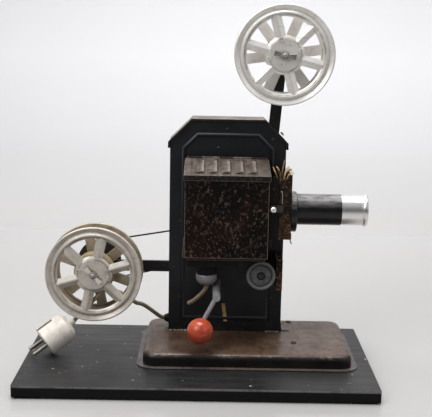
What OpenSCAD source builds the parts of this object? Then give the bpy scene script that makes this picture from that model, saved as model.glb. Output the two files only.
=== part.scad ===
// Hand-cranked toy film projector on a wooden board, sizes in millimetres.
// The origin is the middle of the footprint on the table, +X points the way the lens looks,
// +Y points away from the crank side and +Z is up.

/* [Board] */
// Width of the wooden board
board_w = 400; // [380:1:440]
// Depth of the wooden board
board_d = 214; // [206:1:240]
// Thickness of the wooden board
board_t = 13; // [8:1:20]
// Width of a square pad under each corner of the board
foot_w = 28; // [20:1:36]
// Height of a pad
foot_h = 2; // [1:0.5:4]

/* [Tin base] */
// Width of the pressed tin base at its wall
base_w = 240; // [220:1:250]
// Depth of the pressed tin base at its wall
base_d = 136; // [130:1:140]
// Height of the tin base above the board
base_h = 16; // [12:1:24]
// Middle of the tin base, right of the board's middle
base_x = 57; // [50:1:60]
// Middle of the tin base, behind the board's middle
base_y = 24; // [20:1:26]
// Width of the flat flange round the tin base
base_flange = 7; // [3:0.5:8]
// Radius of the tin base's rounded top edge
base_edge_r = 6; // [3:0.5:8]
// Radius of the tin base's corners seen from above
base_corner_r = 14; // [10:1:20]
// Sheet thickness of the tin base
base_sheet = 1; // [0.6:0.1:1.6]

/* [Column] */
// Width of the tall housing
column_w = 137; // [130:1:150]
// Height of the tall housing above the tin base
column_h = 257; // [245:1:280]
// Depth of the tall housing
column_d = 46; // [44:0.5:48]
// Cut of the two top corners
column_chamfer = 26; // [20:0.5:30]
// Sheet thickness of the housing
column_sheet = 1.2; // [0.8:0.1:1.6]
// Front face of the housing, behind the board's middle
panel_y = 42; // [40:0.5:44]
// Distance of the pressed ridge from the housing's outline
ridge_inset = 14.5; // [12:0.5:15]
// Width of the pressed ridge at its foot
ridge_w = 4; // [3:0.1:4.4]
// Height of the pressed ridge
ridge_h = 1.2; // [0.6:0.1:1.6]
// Overhang of the hood in front of the housing
hood_lap = 2.5; // [1.5:0.1:3]

/* [Lamp house] */
// Width of the lamp house
lamp_w = 95.5; // [90:0.5:97]
// Depth of the lamp house in front of the housing
lamp_d = 60; // [54:0.5:66]
// Height of the lamp house's front wall
lamp_h = 95; // [90:0.5:100]
// Height of the lamp house's floor above the tin base
lamp_lift = 106; // [104:0.5:110]
// Rise of the lamp house's roof from front to back
roof_rise = 12; // [8:0.5:16]
// Sheet thickness of the lamp house
lamp_sheet = 1; // [0.8:0.1:1.4]
// Height of the lid's skirt
skirt_h = 5.5; // [4:0.5:10]
// Number of louvres on the roof
louvres = 5; // [3:1:7]

/* [Lens and gate] */
// Height of the lens axis above the tin base
lens_lift = 159.5; // [156:0.5:163]
// Distance of the film's middle plane in front of the housing
film_gap = 30; // [28:0.5:32]
// Radius of the lens barrel
barrel_r = 18; // [15:0.5:19]
// Length of the black lens barrel
barrel_l = 66.5; // [60:0.5:74]
// Length of the bright front ring of the lens
lens_ring_l = 30; // [24:0.5:34]
// Radius of the round collar that holds the lens
collar_r = 23.5; // [22.5:0.1:25]
// Length of the round collar
collar_l = 7; // [6:0.5:8]
// Width of the film gate from front to back
gate_w = 44; // [42:0.5:46]
// Height of the film gate
gate_h = 74; // [68:0.5:78]

/* [Reels] */
// Outer radius of both reels
reel_r = 56.2; // [54:0.2:58]
// Clear width between a reel's flanges
reel_gap = 22; // [21.6:0.1:23]
// Thickness of one reel flange
flange_t = 4; // [3:0.1:5]
// Radial width of a flange's rim
rim_w = 13.5; // [10:0.5:16]
// Width of one roof-shaped spoke
spoke_w = 12; // [9:0.5:13]
// Number of spokes in a flange
spokes = 6; // [4:1:8]
// Radius of the drum between the flanges
drum_r = 18.4; // [16:0.1:18.6]
// Radius of the spindles
spindle_r = 3; // [2.5:0.1:4]
// Reach of the lower reel arm, from the housing to the spindle
lower_reach = 86; // [80:0.5:92]
// Height of the lower spindle above the tin base
lower_lift = 80; // [78:0.5:82]
// Height of the upper spindle above the housing
upper_lift = 79.3; // [74:0.5:90]
// Width of the reel arms
arm_w = 13; // [11:0.5:15]
// Thickness of the reel arms
arm_t = 4; // [3:0.1:4.5]

/* [Crank] */
// Height of the crank shaft above the tin base
crank_lift = 62; // [60:0.5:66]
// Throw of the crank, from its shaft to the knob
crank_throw = 39.5; // [36:0.5:41]
// Direction of the crank at rest, degrees from +X towards +Z
crank_angle = 243; // [225:1:260]
// Radius of the crank's ball knob
knob_r = 14.9; // [13:0.1:15.5]
// Radius of the crank shaft in front of the housing
shaft_r = 4.5; // [4:0.1:5]
// Radius of the bent crank rod
rod_r = 2.7; // [2.2:0.1:3]

/* [Drive] */
// Size of the gear teeth, pitch diameter over count
gear_module = 0.8; // [0.78:0.01:0.82]
// Teeth of the crank gear
crank_teeth = 60; // [56:1:62]
// Teeth of the pinion on the star wheel's driver
pinion_teeth = 12; // [12:1:14]
// Teeth of the gear on the belt shaft
belt_teeth = 55; // [52:1:58]
// Radius of the belt's run on the drive pulley
drive_run_r = 21; // [18:0.5:22]
// Radius of the belt's run on the take-up pulley
takeup_run_r = 24.5; // [22:0.5:27]
// Diameter of the round drive belt
belt_d = 2; // [1.6:0.1:2.4]
// Slots of the star wheel, and teeth of the film sprocket
star_slots = 6; // [5:1:6]
// Radius of the grey disc on the film sprocket
sprocket_disc_r = 17; // [15:0.1:17.3]

/* [Mains lead] */
// Diameter of the mains lead
cord_d = 5; // [4.6:0.1:5]
// Radius of the plug's body
plug_r = 18.2; // [17:0.1:18.5]
// Length of the plug's body
plug_l = 36; // [32:0.5:38]
// Length of the plug's pins
pin_l = 19; // [17:0.5:20]

/* [Hidden] */
$fn = 64;

// Clearances: a running fit, a push fit, and room between pieces that pass or cover each other
run_gap = 0.05;
push_gap = 0.02;
free_gap = 0.4;

// Levels and middles that the pieces share
board_top = foot_h + board_t;
base_top = board_top + base_h;
column_x = 31.5;
column_top = base_top + column_h;
column_left = column_x - column_w / 2;
column_right = column_x + column_w / 2;
panel_back = panel_y + column_sheet;
column_back = panel_y + column_d;
film_y = panel_y - film_gap;

// Reels and arms
reel_half = reel_gap / 2 + flange_t;
rim_in_r = reel_r - rim_w;
hub_r = drum_r + 0.1;
arm_back = panel_back + arm_t;
supply_x = column_x + 60.2;
supply_z = column_top + upper_lift;
takeup_x = column_left - lower_reach;
takeup_z = base_top + lower_lift;
upper_foot = [column_x + 50.5, column_top - 45];
upper_lean = atan2(supply_x - upper_foot.x, supply_z - upper_foot.y);
spindle_nose = film_y - reel_half - 2.6;
keeper_neck_r = 1.6;
keeper_t = 1.4;

// Shafts of the drive, as [x, z]
crank_at = [column_x - 11, base_top + crank_lift];
sprocket_at = [column_x + 40.7, base_top + 81];
crank_pitch_r = gear_module * crank_teeth / 2;
pinion_pitch_r = gear_module * pinion_teeth / 2;
belt_pitch_r = gear_module * belt_teeth / 2;
train_angle = atan2(sprocket_at.y - crank_at.y, sprocket_at.x - crank_at.x);
train_l = norm(sprocket_at - crank_at);
driver_at = crank_at + (crank_pitch_r + pinion_pitch_r) * [cos(train_angle), sin(train_angle)];
star_l = train_l - crank_pitch_r - pinion_pitch_r;
belt_angle = 105;
belt_at = crank_at + (crank_pitch_r + belt_pitch_r) * [cos(belt_angle), sin(belt_angle)];
takeup_at = [takeup_x, takeup_z];
supply_at = [supply_x, supply_z];

// Planes of the drive behind the panel
gear_y = panel_back + 8.8;
gear_t = 4;
belt_y = gear_y + gear_t + 6;
pulley_t = 7;
driver_y = belt_y + pulley_t / 2 + 1;
driver_t = 2;
star_pin_l = 2.6;
star_y = driver_y + driver_t + star_pin_l + free_gap;
star_t = 3;
plate_y = column_back - column_sheet - 6.8;
plate_t = 1.5;
bush_l = 5;
bush_wall = 2;

// Journals: front radius of each shaft, and the squared seat that fits inside it
crank_journal_r = 3;
driver_journal_r = 2;
star_journal_r = 2.7;
belt_journal_r = 2;
function square_side(r) = r * sqrt(2) - 0.04;
function rear_r(r) = square_side(r) / 2 - 0.02;

// Gear teeth
pressure_angle = 25;
addendum = 0.8 * gear_module;
dedendum = 1.1 * gear_module;
backlash = 0.2;
function involute_turn(a) = tan(a) * 180 / PI - a;
function half_tooth(n, r) =
    let (pitch = gear_module * n / 2)
    let (base = pitch * cos(pressure_angle))
    let (thin = backlash / 4 / pitch * 180 / PI)
    90 / n - thin + involute_turn(pressure_angle) - involute_turn(acos(base / max(r, base)));
function polar(r, a) = r * [cos(a), sin(a)];
function tooth(n, a) =
    let (pitch = gear_module * n / 2)
    let (root = pitch - dedendum)
    let (low = max(root, pitch * cos(pressure_angle)))
    let (rising = [root, low, pitch, pitch + addendum])
    concat([for (r = rising) polar(r, a - half_tooth(n, max(r, low)))],
        [for (i = [3:-1:0]) polar(rising[i], a + half_tooth(n, max(rising[i], low)))]);
function gear_points(n, phase) = [for (i = [0:n - 1]) each tooth(n, phase + 360 * i / n)];
function mesh_phase(teeth, phase, next_teeth, line) =
    line + 180 + 180 / next_teeth - (phase - line) * teeth / next_teeth;
pinion_phase = mesh_phase(crank_teeth, 0, pinion_teeth, train_angle);
belt_phase = mesh_phase(crank_teeth, 0, belt_teeth, belt_angle);

// Belt: angle of the line between the pulleys, and of each run
pulley_span = belt_at - takeup_at;
pulley_l = norm(pulley_span);
pulley_angle = atan2(pulley_span.y, pulley_span.x);
belt_splay = asin((takeup_run_r - drive_run_r) / pulley_l);
upper_run_angle = pulley_angle - belt_splay;
lower_run_angle = pulley_angle + belt_splay;
belt_arc_steps = 20;
function belt_arc(at, r, from, sweep) =
    [for (i = [0:belt_arc_steps])
        let (a = from + sweep * i / belt_arc_steps)
        [at.x + r * cos(a), belt_y, at.y + r * sin(a)]];
belt_path = concat(belt_arc(takeup_at, takeup_run_r, upper_run_angle + 90, 180 + 2 * belt_splay),
    belt_arc(belt_at, drive_run_r, lower_run_angle - 90, 180 - 2 * belt_splay));
function run_height(x, side) =
    let (a = side > 0 ? upper_run_angle : lower_run_angle)
    let (start = takeup_at + side * takeup_run_r * [-sin(a), cos(a)])
    start.y + (x - start.x) * tan(a);

// Lamp house
lamp_left = column_x - 1.25 - lamp_w / 2;
lamp_right = lamp_left + lamp_w;
lamp_front = panel_y - lamp_d;
lamp_z = base_top + lamp_lift;
lamp_top = lamp_z + lamp_h;
roof_angle = atan2(roof_rise, lamp_d);
function roof_under(y) = lamp_top + free_gap + (y - lamp_front) * tan(roof_angle);
lid_knuckles = 5;
lid_knuckle_r = 2;
lid_pin_r = 1;
lid_pin_y = panel_y - lamp_sheet - lid_knuckle_r - free_gap;
lid_pin = [lid_pin_y, roof_under(lid_pin_y) + 0.8 * lamp_sheet];
lid_back = lid_pin_y - lid_knuckle_r - free_gap;
lid_hinge_from = lamp_left + lamp_sheet + free_gap;
lid_hinge_to = lamp_right - lamp_sheet - free_gap;
lid_hinge_step = (lid_hinge_to - lid_hinge_from + free_gap) / lid_knuckles;

// Optics
optic_z = base_top + lens_lift;
bulb_x = lamp_left + 26;
bulb_r = 15;
socket_r = 12.6;
socket_z = base_top + 68;
socket_h = 12.5;
holder_r = 11;
tray_w = 60;
tray_d = 40;
tray_h = 13;
tray_inset = 3.5;
cap_r = 7;
cap_l = 26;
cap_sunk = 12;
holder_top = optic_z - bulb_r - cap_l + 1.5;
condenser_r = 14;
track_x = lamp_right + 7;
gate_sheet = 1.2;
gate_low = optic_z - 33;
gate_top = gate_low + gate_h;
gate_front = film_y - gate_w / 2 + 1;
gate_back = gate_front + gate_w;
door_x = lamp_right + 25;
door_side_x = lamp_right + 12.5;
door_pin = [door_x + 0.6, gate_back + 4.4];
door_pin_r = 1.4;
door_knuckle_r = 2.8;
collar_x = door_x + gate_sheet;
barrel_x = collar_x - 8;
lens_ring_x = barrel_x + barrel_l;
glass_r = 12;
latch_at = [lamp_right + 5, optic_z + 4];
latch_knob_r = 4.1;
latch_stem_r = 1.2;
latch_t = 0.8;
latch_y = gate_front - 2.4;

// Sprocket, film shoe and presser
film_pitch = 7.62;
sprocket_r = star_slots * film_pitch / (2 * PI);
film_w = 16;
sprocket_half = film_w / 2 + 0.2;
disc_t = 3;
shoe_x = sprocket_at.x + sprocket_disc_r + 0.9;
shoe_drop = 17;
shoe_rise = 20;
presser_pin = sprocket_at + [-8.7, 19];
presser_pin_r = 2;
presser_roll_r = 3.5;
// Presser's room from each end of the sprocket and from its drum, clear of the teeth
presser_inset = 3.6;
presser_lift = 2.4;
presser_front = film_y - sprocket_half + presser_inset;
presser_roll = sprocket_at + (sprocket_r + presser_lift + presser_roll_r) * [cos(50), sin(50)];

// Crank
crank_front = panel_y - 65;
crank_bend = 3;
knob_grip = 8;
knob_y = crank_front - crank_bend - free_gap - knob_r;
crank_pin_at = crank_at + polar(crank_throw, crank_angle);

// Pillars between panel and bearing plate, and screws of the reel arms, as [x, z]
pillar_r = 3;
pillar_inset = 13;
pillar_lifts = [43, 137];
pillars_at = [for (x = [column_left + pillar_inset, column_right - pillar_inset], lift = pillar_lifts)
    [x, base_top + lift]];
lower_screw_steps = [6, 23];
lower_screws_at = [for (step = lower_screw_steps) [column_left + step, takeup_z]];
upper_screw_steps = [5, 25];
upper_screws_at = [for (step = upper_screw_steps) upper_foot + step * [sin(upper_lean), cos(upper_lean)]];
screw_r = 1.5;
screw_head_r = 2.8;
screw_head_t = 1.6;
base_screw_r = 1.6;
base_screw_l = 8;

// Mains lead: the plug's place, and points of each free stretch
cord_r = cord_d / 2;
grommet_at = [62, base_top + 9.5];
grommet_nose = 6;
cord_gap = 0.6;
winding_r = drum_r + cord_gap + cord_r;
winding_pitch = 5.7;
winding_from = 262;
winding_turn = 305 + 720;
winding_step = 15;
winding_steps = floor(winding_turn / winding_step);
winding_wide = winding_pitch * winding_turn / 360;
plug_yaw = 24.8;
plug_tilt = 32;
plug_edge = 1;
plug_neck = 6;
plug_face = [-179.5, -8, board_top + plug_r * cos(plug_tilt) - plug_edge * sin(plug_tilt)];
plug_back = [cos(plug_tilt) * cos(plug_yaw), cos(plug_tilt) * sin(plug_yaw), sin(plug_tilt)];
plug_end = plug_face + (plug_l + plug_neck) * plug_back;
function winding_point(i) =
    let (a = winding_from - winding_turn * i / winding_steps)
    let (y = film_y + winding_wide / 2 - winding_wide * i / winding_steps)
    [takeup_x + winding_r * cos(a), y, takeup_z + winding_r * sin(a)];
function unit(v) = v / norm(v);
winding_coil = [for (i = [0:winding_steps]) winding_point(i)];
winding_in = winding_coil[0] + cord_d * unit(winding_coil[0] - winding_coil[1]);
winding_out = winding_coil[winding_steps]
    + cord_d * unit(winding_coil[winding_steps] - winding_coil[winding_steps - 1]);
winding_path = concat([winding_in], winding_coil, [winding_out]);
stretch_path = concat([[column_left - grommet_nose, grommet_at.x, grommet_at.y]],
    [[-48, 61.5, 42], [-54, 57, 48], [-60, 49.5, 55], [-66, 40, 62.5], [-71, 31, 67.5], [-74, 24.5, 70],
    [-77, 20.5, 73], [-83, 20, 78], [-91, 20, 82.5], [-102, 20, 86]], [winding_in]);
tail_path = concat([winding_out],
    [[-120, 4.2, 82.5], [-129, 5.5, 73], [-137, 7.5, 64], [-142.5, 8.8, 57.5]], [plug_end]);
lead_r = 2.5;
lead_hole = [column_left + 25, base_top + 35];
lead_path = [[bulb_x, film_y, socket_z], [bulb_x, film_y, socket_z - 4], [6, 15, 89], [0.5, 22, 81],
    [-5.5, 31, 73], [-10, 37, 68.5], [lead_hole.x, panel_y - 1, lead_hole.y],
    [lead_hole.x, panel_back + 4, lead_hole.y]];

// Least gap between two turns of the winding
winding_gap = min([for (i = [0:winding_steps]) for (j = [i + 12:1:winding_steps])
    norm(winding_coil[i] - winding_coil[j])]) - cord_d;
echo(winding_gap = winding_gap);

// Shared shapes

// Extrudes a front view, x and z, from y0 to y1
module along_y(y0, y1) {
    translate([0, y1, 0]) rotate([90, 0, 0]) linear_extrude(y1 - y0) children();
}

// Extrudes a side view, y and z, from x0 to x1
module along_x(x0, x1) {
    translate([x0, 0, 0]) rotate([90, 0, 90]) linear_extrude(x1 - x0) children();
}

// Round rod along Y at [x, z]
module rod_y(at, y0, y1, r) {
    translate([at.x, y1, at.y]) rotate([90, 0, 0]) cylinder(r = r, h = y1 - y0);
}

// Square rod along Y at [x, z]
module square_y(at, y0, y1, side) {
    translate([at.x - side / 2, y0, at.y - side / 2]) cube([side, y1 - y0, side]);
}

// Round rod along X at [y, z]
module rod_x(at, x0, x1, r) {
    translate([x0, at.x, at.y]) rotate([0, 90, 0]) cylinder(r = r, h = x1 - x0);
}

// Turned shape along Y at [x, z], its profile in radius and distance towards the front from y0
module turned_y(at, y0) {
    translate([at.x, y0, at.y]) rotate([90, 0, 0]) rotate_extrude() children();
}

module rounded_rect(w, d, r) {
    square([w - 2 * r, d], center = true);
    square([w, d - 2 * r], center = true);
    for (x = [-1, 1], y = [-1, 1]) translate([x * (w / 2 - r), y * (d / 2 - r)]) circle(r);
}

// Outline of the housing from the front, moved inwards by d
module column_outline(d) {
    half = column_w / 2 - d;
    cut = column_chamfer - d * (2 - sqrt(2));
    translate([column_x, 0])
        polygon([[-half, base_top + d], [half, base_top + d], [half, column_top - d - cut],
            [half - cut, column_top - d], [cut - half, column_top - d], [-half, column_top - d - cut]]);
}

// Tube of n sides along a path, its rings laid out from the direction up
function path_dir(p, i) = unit(p[min(i + 1, len(p) - 1)] - p[max(i - 1, 0)]);
function tube_ring(c, t, r, n, up) =
    let (u = unit(cross(t, up)))
    let (v = cross(u, t))
    [for (k = [0:n - 1]) c + r * (cos(360 * k / n) * u + sin(360 * k / n) * v)];
module tube(path, r, n, up) {
    last = len(path) - 1;
    rings = [for (i = [0:last]) each tube_ring(path[i], path_dir(path, i), r, n, up)];
    walls = [for (i = [0:last - 1], k = [0:n - 1])
        let (a = i * n + k)
        let (b = i * n + (k + 1) % n)
        each [[a, b, b + n], [a, b + n, a + n]]];
    start_cap = [for (k = [1:n - 2]) [0, k + 1, k]];
    end_cap = [for (k = [1:n - 2]) [last * n, last * n + k, last * n + k + 1]];
    polyhedron(rings, concat(walls, start_cap, end_cap));
}

// Closed tube of n sides round a loop of points
module loop_tube(path, r, n, up) {
    count = len(path);
    rings = [for (i = [0:count - 1])
        each tube_ring(path[i], unit(path[(i + 1) % count] - path[(i + count - 1) % count]), r, n, up)];
    walls = [for (i = [0:count - 1], k = [0:n - 1])
        let (next = (i + 1) % count * n)
        let (turn = (k + 1) % n)
        each [[i * n + k, i * n + turn, next + turn], [i * n + k, next + turn, next + k]]];
    polyhedron(rings, walls);
}

// Board and tin base

module board() {
    color("#343335")
    difference() {
        translate([0, 0, foot_h]) linear_extrude(board_t) rounded_rect(board_w, board_d, 2);
        base_screw_places() translate([0, 0, board_top - base_screw_l])
            cylinder(r = base_screw_r + push_gap, h = base_screw_l + 1);
    }
}

module board_feet() {
    inset = [foot_w / 2 + 4, foot_w / 2 + 2];
    color("#2a2a2a")
    for (x = [-1, 1], y = [-1, 1])
        translate([x * (board_w / 2 - inset.x), y * (board_d / 2 - inset.y), 0])
            linear_extrude(foot_h) rounded_rect(foot_w, foot_w, 1.5);
}

// Closed block with rounded corners and a rounded top edge
module pan(w, d, h, corner, edge) {
    hull()
    for (x = [-1, 1], y = [-1, 1])
        translate([x * (w / 2 - corner), y * (d / 2 - corner), 0]) {
            cylinder(r = corner, h = h - edge, $fn = 32);
            translate([0, 0, h - edge]) rotate_extrude($fn = 32)
                translate([corner - edge, 0]) intersection() {
                    circle(edge, $fn = 24);
                    square(edge);
                }
        }
}

module base_screw_places() {
    for (y = [base_y - 22, base_y + 57])
        translate([column_right + 13, y, 0]) children();
}

module tin_base() {
    wall = 2 * base_sheet;
    color("#4b3c32")
    difference() {
        translate([base_x, base_y, board_top]) difference() {
            union() {
                pan(base_w, base_d, base_h, base_corner_r, base_edge_r);
                linear_extrude(base_sheet) rounded_rect(base_w + 2 * base_flange, base_d + 2 * base_flange,
                    base_corner_r + base_flange);
            }
            translate([0, 0, -base_sheet]) pan(base_w - wall, base_d - wall, base_h,
                base_corner_r - base_sheet, base_edge_r - base_sheet);
        }
        base_screw_places() translate([0, 0, base_top - 3]) cylinder(r = base_screw_r + push_gap, h = 4);
    }
}

module base_screws() {
    color("#3a3028")
    base_screw_places() {
        translate([0, 0, board_top - base_screw_l]) cylinder(r = base_screw_r, h = base_screw_l + base_h);
        translate([0, 0, base_top]) rotate_extrude()
            polygon([[0, 0], [3.4, 0], [3, 1], [1.8, 1.7], [0, 2]]);
    }
}

// Housing

module housing_shell() {
    slot = free_gap * 2;
    color("#1c2024")
    difference() {
        along_y(panel_back, column_back) column_outline(0);
        along_y(panel_back - 1, column_back - column_sheet) column_outline(column_sheet);
        translate([column_left - 1, panel_back - 1, takeup_z - (arm_w + slot) / 2])
            cube([column_sheet + 2, arm_t + 1 + free_gap, arm_w + slot]);
        upper_arm_slot(panel_back - 1);
        for (side = [-1, 1]) rod_x([belt_y, run_height(column_left, side)], column_left - 1,
            column_left + column_sheet + 1, belt_d / 2 + 1.5);
        rod_x(grommet_at, column_left - 1, column_left + column_sheet + 1, cord_r + 1.5);
    }
}

// Room for the upper arm where it leaves the housing's top corner
module upper_arm_slot(y0) {
    slot = free_gap * 2;
    translate([upper_foot.x, y0, upper_foot.y]) rotate([0, upper_lean, 0])
        translate([-(arm_w + slot) / 2, 0, 20]) cube([arm_w + slot, arm_back + free_gap - y0, 40]);
}

module front_panel() {
    front = panel_y - ridge_h - 1;
    color("#1f242a")
    difference() {
        union() {
            along_y(panel_y, panel_back) column_outline(0);
            along_y(panel_y - ridge_h / 2, panel_y) ridge(0);
            along_y(panel_y - ridge_h, panel_y - ridge_h / 2) ridge(ridge_w / 4);
        }
        for (at = [crank_at, sprocket_at]) rod_y(at, front, panel_back + 1, journal_r(at) + bush_wall);
        rod_y(lead_hole, front, panel_back + 1, lead_r + free_gap);
        for (at = concat(pillars_at, lower_screws_at, upper_screws_at))
            rod_y(at, front, panel_back + 1, screw_r + push_gap);
    }
}

// Pressed ridge, its band drawn in by d on both sides
module ridge(d) {
    difference() {
        column_outline(ridge_inset + d);
        column_outline(ridge_inset + ridge_w - d);
    }
}

// Bent strip over the housing's top with a rolled front rim
module hood() {
    reach = column_top - column_chamfer - 4;
    color("#262421")
    difference() {
        union() {
            along_y(panel_y, column_back + 1) hood_band(1.2, reach);
            along_y(panel_y - hood_lap, panel_y) hood_band(2.4, reach - 1.5);
        }
        upper_arm_slot(panel_y + 1);
    }
}

module hood_band(t, low) {
    difference() {
        column_outline(-t);
        column_outline(0);
        translate([column_left - 10, 0]) square([column_w + 20, low]);
    }
}

function journal_r(at) =
    at == crank_at ? crank_journal_r : at == sprocket_at ? star_journal_r :
    at == belt_at ? belt_journal_r : driver_journal_r;

// A shaft that ends inside has its bush on the panel's back, the others have it through the panel
function shaft_front(at) = at == driver_at || at == belt_at ? panel_back : panel_y;

module bearing_plate() {
    low = pillars_at[0] - [7, 7];
    high = pillars_at[3] + [7, 7];
    color("#6d6a62")
    difference() {
        along_y(plate_y, plate_y + plate_t) translate(low) square(high - low);
        for (at = [crank_at, driver_at, sprocket_at, belt_at])
            rod_y(at, plate_y - 1, plate_y + plate_t + 1, rear_r(journal_r(at)) + bush_wall);
        for (at = pillars_at) rod_y(at, plate_y - 1, plate_y + plate_t + 1, screw_r + push_gap);
    }
}

module pillars() {
    color("#8c8a84")
    for (at = pillars_at) difference() {
        rod_y(at, panel_back, plate_y, pillar_r);
        rod_y(at, panel_back - 1, panel_back + 8, screw_r + push_gap);
        rod_y(at, plate_y - 8, plate_y + 1, screw_r + push_gap);
    }
}

// Screws into both ends of the pillars, and through the reel arms into the panel
module frame_screws() {
    color("#4a463f")
    union() {
        for (at = pillars_at) {
            rod_y(at, panel_y, panel_back + 7, screw_r);
            rod_y(at, plate_y - 7, plate_y + plate_t, screw_r);
            rod_y(at, plate_y + plate_t, plate_y + plate_t + screw_head_t, screw_head_r);
        }
        for (at = concat(lower_screws_at, upper_screws_at)) {
            rod_y(at, panel_y, arm_back, screw_r);
            rod_y(at, arm_back, arm_back + screw_head_t, screw_head_r);
        }
    }
}

module bush(at, y0, bore) {
    difference() {
        rod_y(at, y0, y0 + bush_l, bore + bush_wall - push_gap);
        rod_y(at, y0 - 1, y0 + bush_l + 1, bore + run_gap);
    }
}

module bearing_bushes() {
    color("#b08a3c") {
        for (at = [crank_at, driver_at, sprocket_at, belt_at]) {
            bush(at, shaft_front(at), journal_r(at));
            bush(at, plate_y - 1.5, rear_r(journal_r(at)));
        }
        bush(takeup_at, panel_back - 0.5, spindle_r);
    }
}

// Lamp house

module lamp_house() {
    inner = lamp_sheet;
    color("#1d1815")
    difference() {
        union() {
            difference() {
                along_x(lamp_left, lamp_right) polygon([[lamp_front, lamp_z], [panel_y, lamp_z],
                    [panel_y, lamp_top + roof_rise], [lamp_front, lamp_top]]);
                along_x(lamp_left + inner, lamp_right - inner)
                    polygon([[lamp_front + inner, lamp_z + inner], [panel_y - inner, lamp_z + inner],
                        [panel_y - inner, lamp_top + roof_rise + 1], [lamp_front + inner, lamp_top + 1]]);
            }
            for (i = [0:2:lid_knuckles - 1]) lid_hinge_piece(i)
                translate([lid_pin.x, lid_pin.y - lid_knuckle_r])
                    square([panel_y - lid_pin.x, lid_knuckle_r]);
        }
        rod_x([film_y, optic_z], lamp_right - inner - 1, lamp_right + 1, condenser_r + push_gap);
        translate([bulb_x, film_y, lamp_z - 1]) cylinder(r = holder_r + push_gap, h = inner + 2);
        rod_x(lid_pin, lid_hinge_from - 0.1, lid_hinge_to + 0.1, lid_pin_r + push_gap);
    }
}

// Knuckle i of the lid's hinge, joined to its own sheet by the children's side view
module lid_hinge_piece(i) {
    x = lid_hinge_from + i * lid_hinge_step;
    along_x(x, x + lid_hinge_step - free_gap) {
        translate(lid_pin) circle(lid_knuckle_r);
        children();
    }
}

// Side view of the roof's sheet from y0 to y1
module roof_strip(y0, y1) {
    polygon([[y0, roof_under(y0)], [y1, roof_under(y1)], [y1, roof_under(y1) + lamp_sheet],
        [y0, roof_under(y0) + lamp_sheet]]);
}

// Lid: sloping roof with louvres, a skirt on three sides and a rolled hinge along its rear edge
module lamp_lid() {
    t = lamp_sheet;
    front = lamp_front - free_gap - t;
    left = lamp_left - free_gap - t;
    right = lamp_right + free_gap + t;
    low = roof_under(front);
    high = roof_under(lid_back);
    louvre_step = (right - left) / (louvres + 1.6);
    color("#6e625c")
    difference() {
        union() {
            along_x(left, right) roof_strip(front, lid_back);
            along_x(left, right) translate([front, low - skirt_h]) square([t, skirt_h + t]);
            for (x = [left, right - t]) along_x(x, x + t)
                polygon([[front, low - skirt_h], [lid_back, high - skirt_h], [lid_back, high + t],
                    [front, low + t]]);
            for (i = [0:louvres - 1])
                louvre(left + louvre_step * (i + 1.5), louvre_step - 2, front, low + t);
            for (i = [1:2:lid_knuckles - 1]) lid_hinge_piece(i) roof_strip(lid_back - t, lid_pin.x);
        }
        rod_x(lid_pin, lid_hinge_from - 0.1, lid_hinge_to + 0.1, lid_pin_r + run_gap);
    }
}

// One pressed louvre along the roof's slope, higher on its right side
module louvre(x, w, y, z) {
    inset = 6;
    translate([x, y + inset, z + inset * tan(roof_angle)]) rotate([90 + roof_angle, 0, 0]) mirror([0, 0, 1])
        linear_extrude(lamp_d - 24)
            polygon([[-w, -0.5], [0, -0.5], [0, 3], [-w * 0.15, 3.2], [-w * 0.5, 2.1]]);
}

module hinge_pins() {
    color("#7d7a74") {
        rod_x(lid_pin, lid_hinge_from, lid_hinge_to, lid_pin_r);
        translate([door_pin.x, door_pin.y, gate_low + 2]) cylinder(r = door_pin_r, h = gate_h - 8);
        rod_y(presser_pin, presser_front - free_gap, panel_y, presser_pin_r);
        rod_y(presser_pin, presser_front - free_gap - 1.2, presser_front - free_gap, presser_pin_r + 1.2);
    }
}

// Holder of the bulb, with the shallow black tray under the lamp house's floor
module lamp_holder() {
    color("#161616")
    difference() {
        union() {
            translate([bulb_x, film_y, socket_z + socket_h])
                cylinder(r = holder_r, h = holder_top - socket_z - socket_h);
            translate([lamp_left + tray_inset, film_y - tray_d / 2, lamp_z - tray_h])
                cube([tray_w, tray_d, tray_h]);
        }
        translate([bulb_x, film_y, holder_top - cap_sunk]) cylinder(r = cap_r + push_gap, h = cap_sunk + 1);
    }
}

// Round cup under the lamp holder
module lamp_socket() {
    h = socket_h;
    color("#8f9092")
    translate([bulb_x, film_y, socket_z]) rotate_extrude()
        polygon([[0, 0], [7.5, 0], [socket_r - 1.6, 3.2], [socket_r - 0.3, 6.5], [socket_r, h - 1.5],
            [socket_r - 0.8, h], [0, h]]);
}

module bulb_cap() {
    color("#b79b5a")
    translate([bulb_x, film_y, holder_top - cap_sunk]) cylinder(r = cap_r, h = cap_l);
}

module lamp_bulb() {
    low = holder_top + cap_l - cap_sunk;
    color("#e8eef2", 0.4)
    translate([bulb_x, film_y, 0]) rotate_extrude() difference() {
        union() {
            translate([0, low]) square([6.5, optic_z - low]);
            translate([0, optic_z]) circle(bulb_r);
        }
        translate([-bulb_r - 1, optic_z - bulb_r - 1]) square([bulb_r + 1, 2 * bulb_r + 2]);
    }
}

// Plano-convex lens held in the lamp house's right wall
module condenser_lens() {
    r = 30;
    edge = sqrt(r * r - condenser_r * condenser_r);
    color("#dfe8ea", 0.4)
    translate([lamp_right, film_y, optic_z]) rotate([0, -90, 0]) rotate_extrude() intersection() {
        translate([0, 2 - edge]) circle(r, $fn = 128);
        square([condenser_r, 8]);
    }
}

// Film gate and lens

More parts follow.
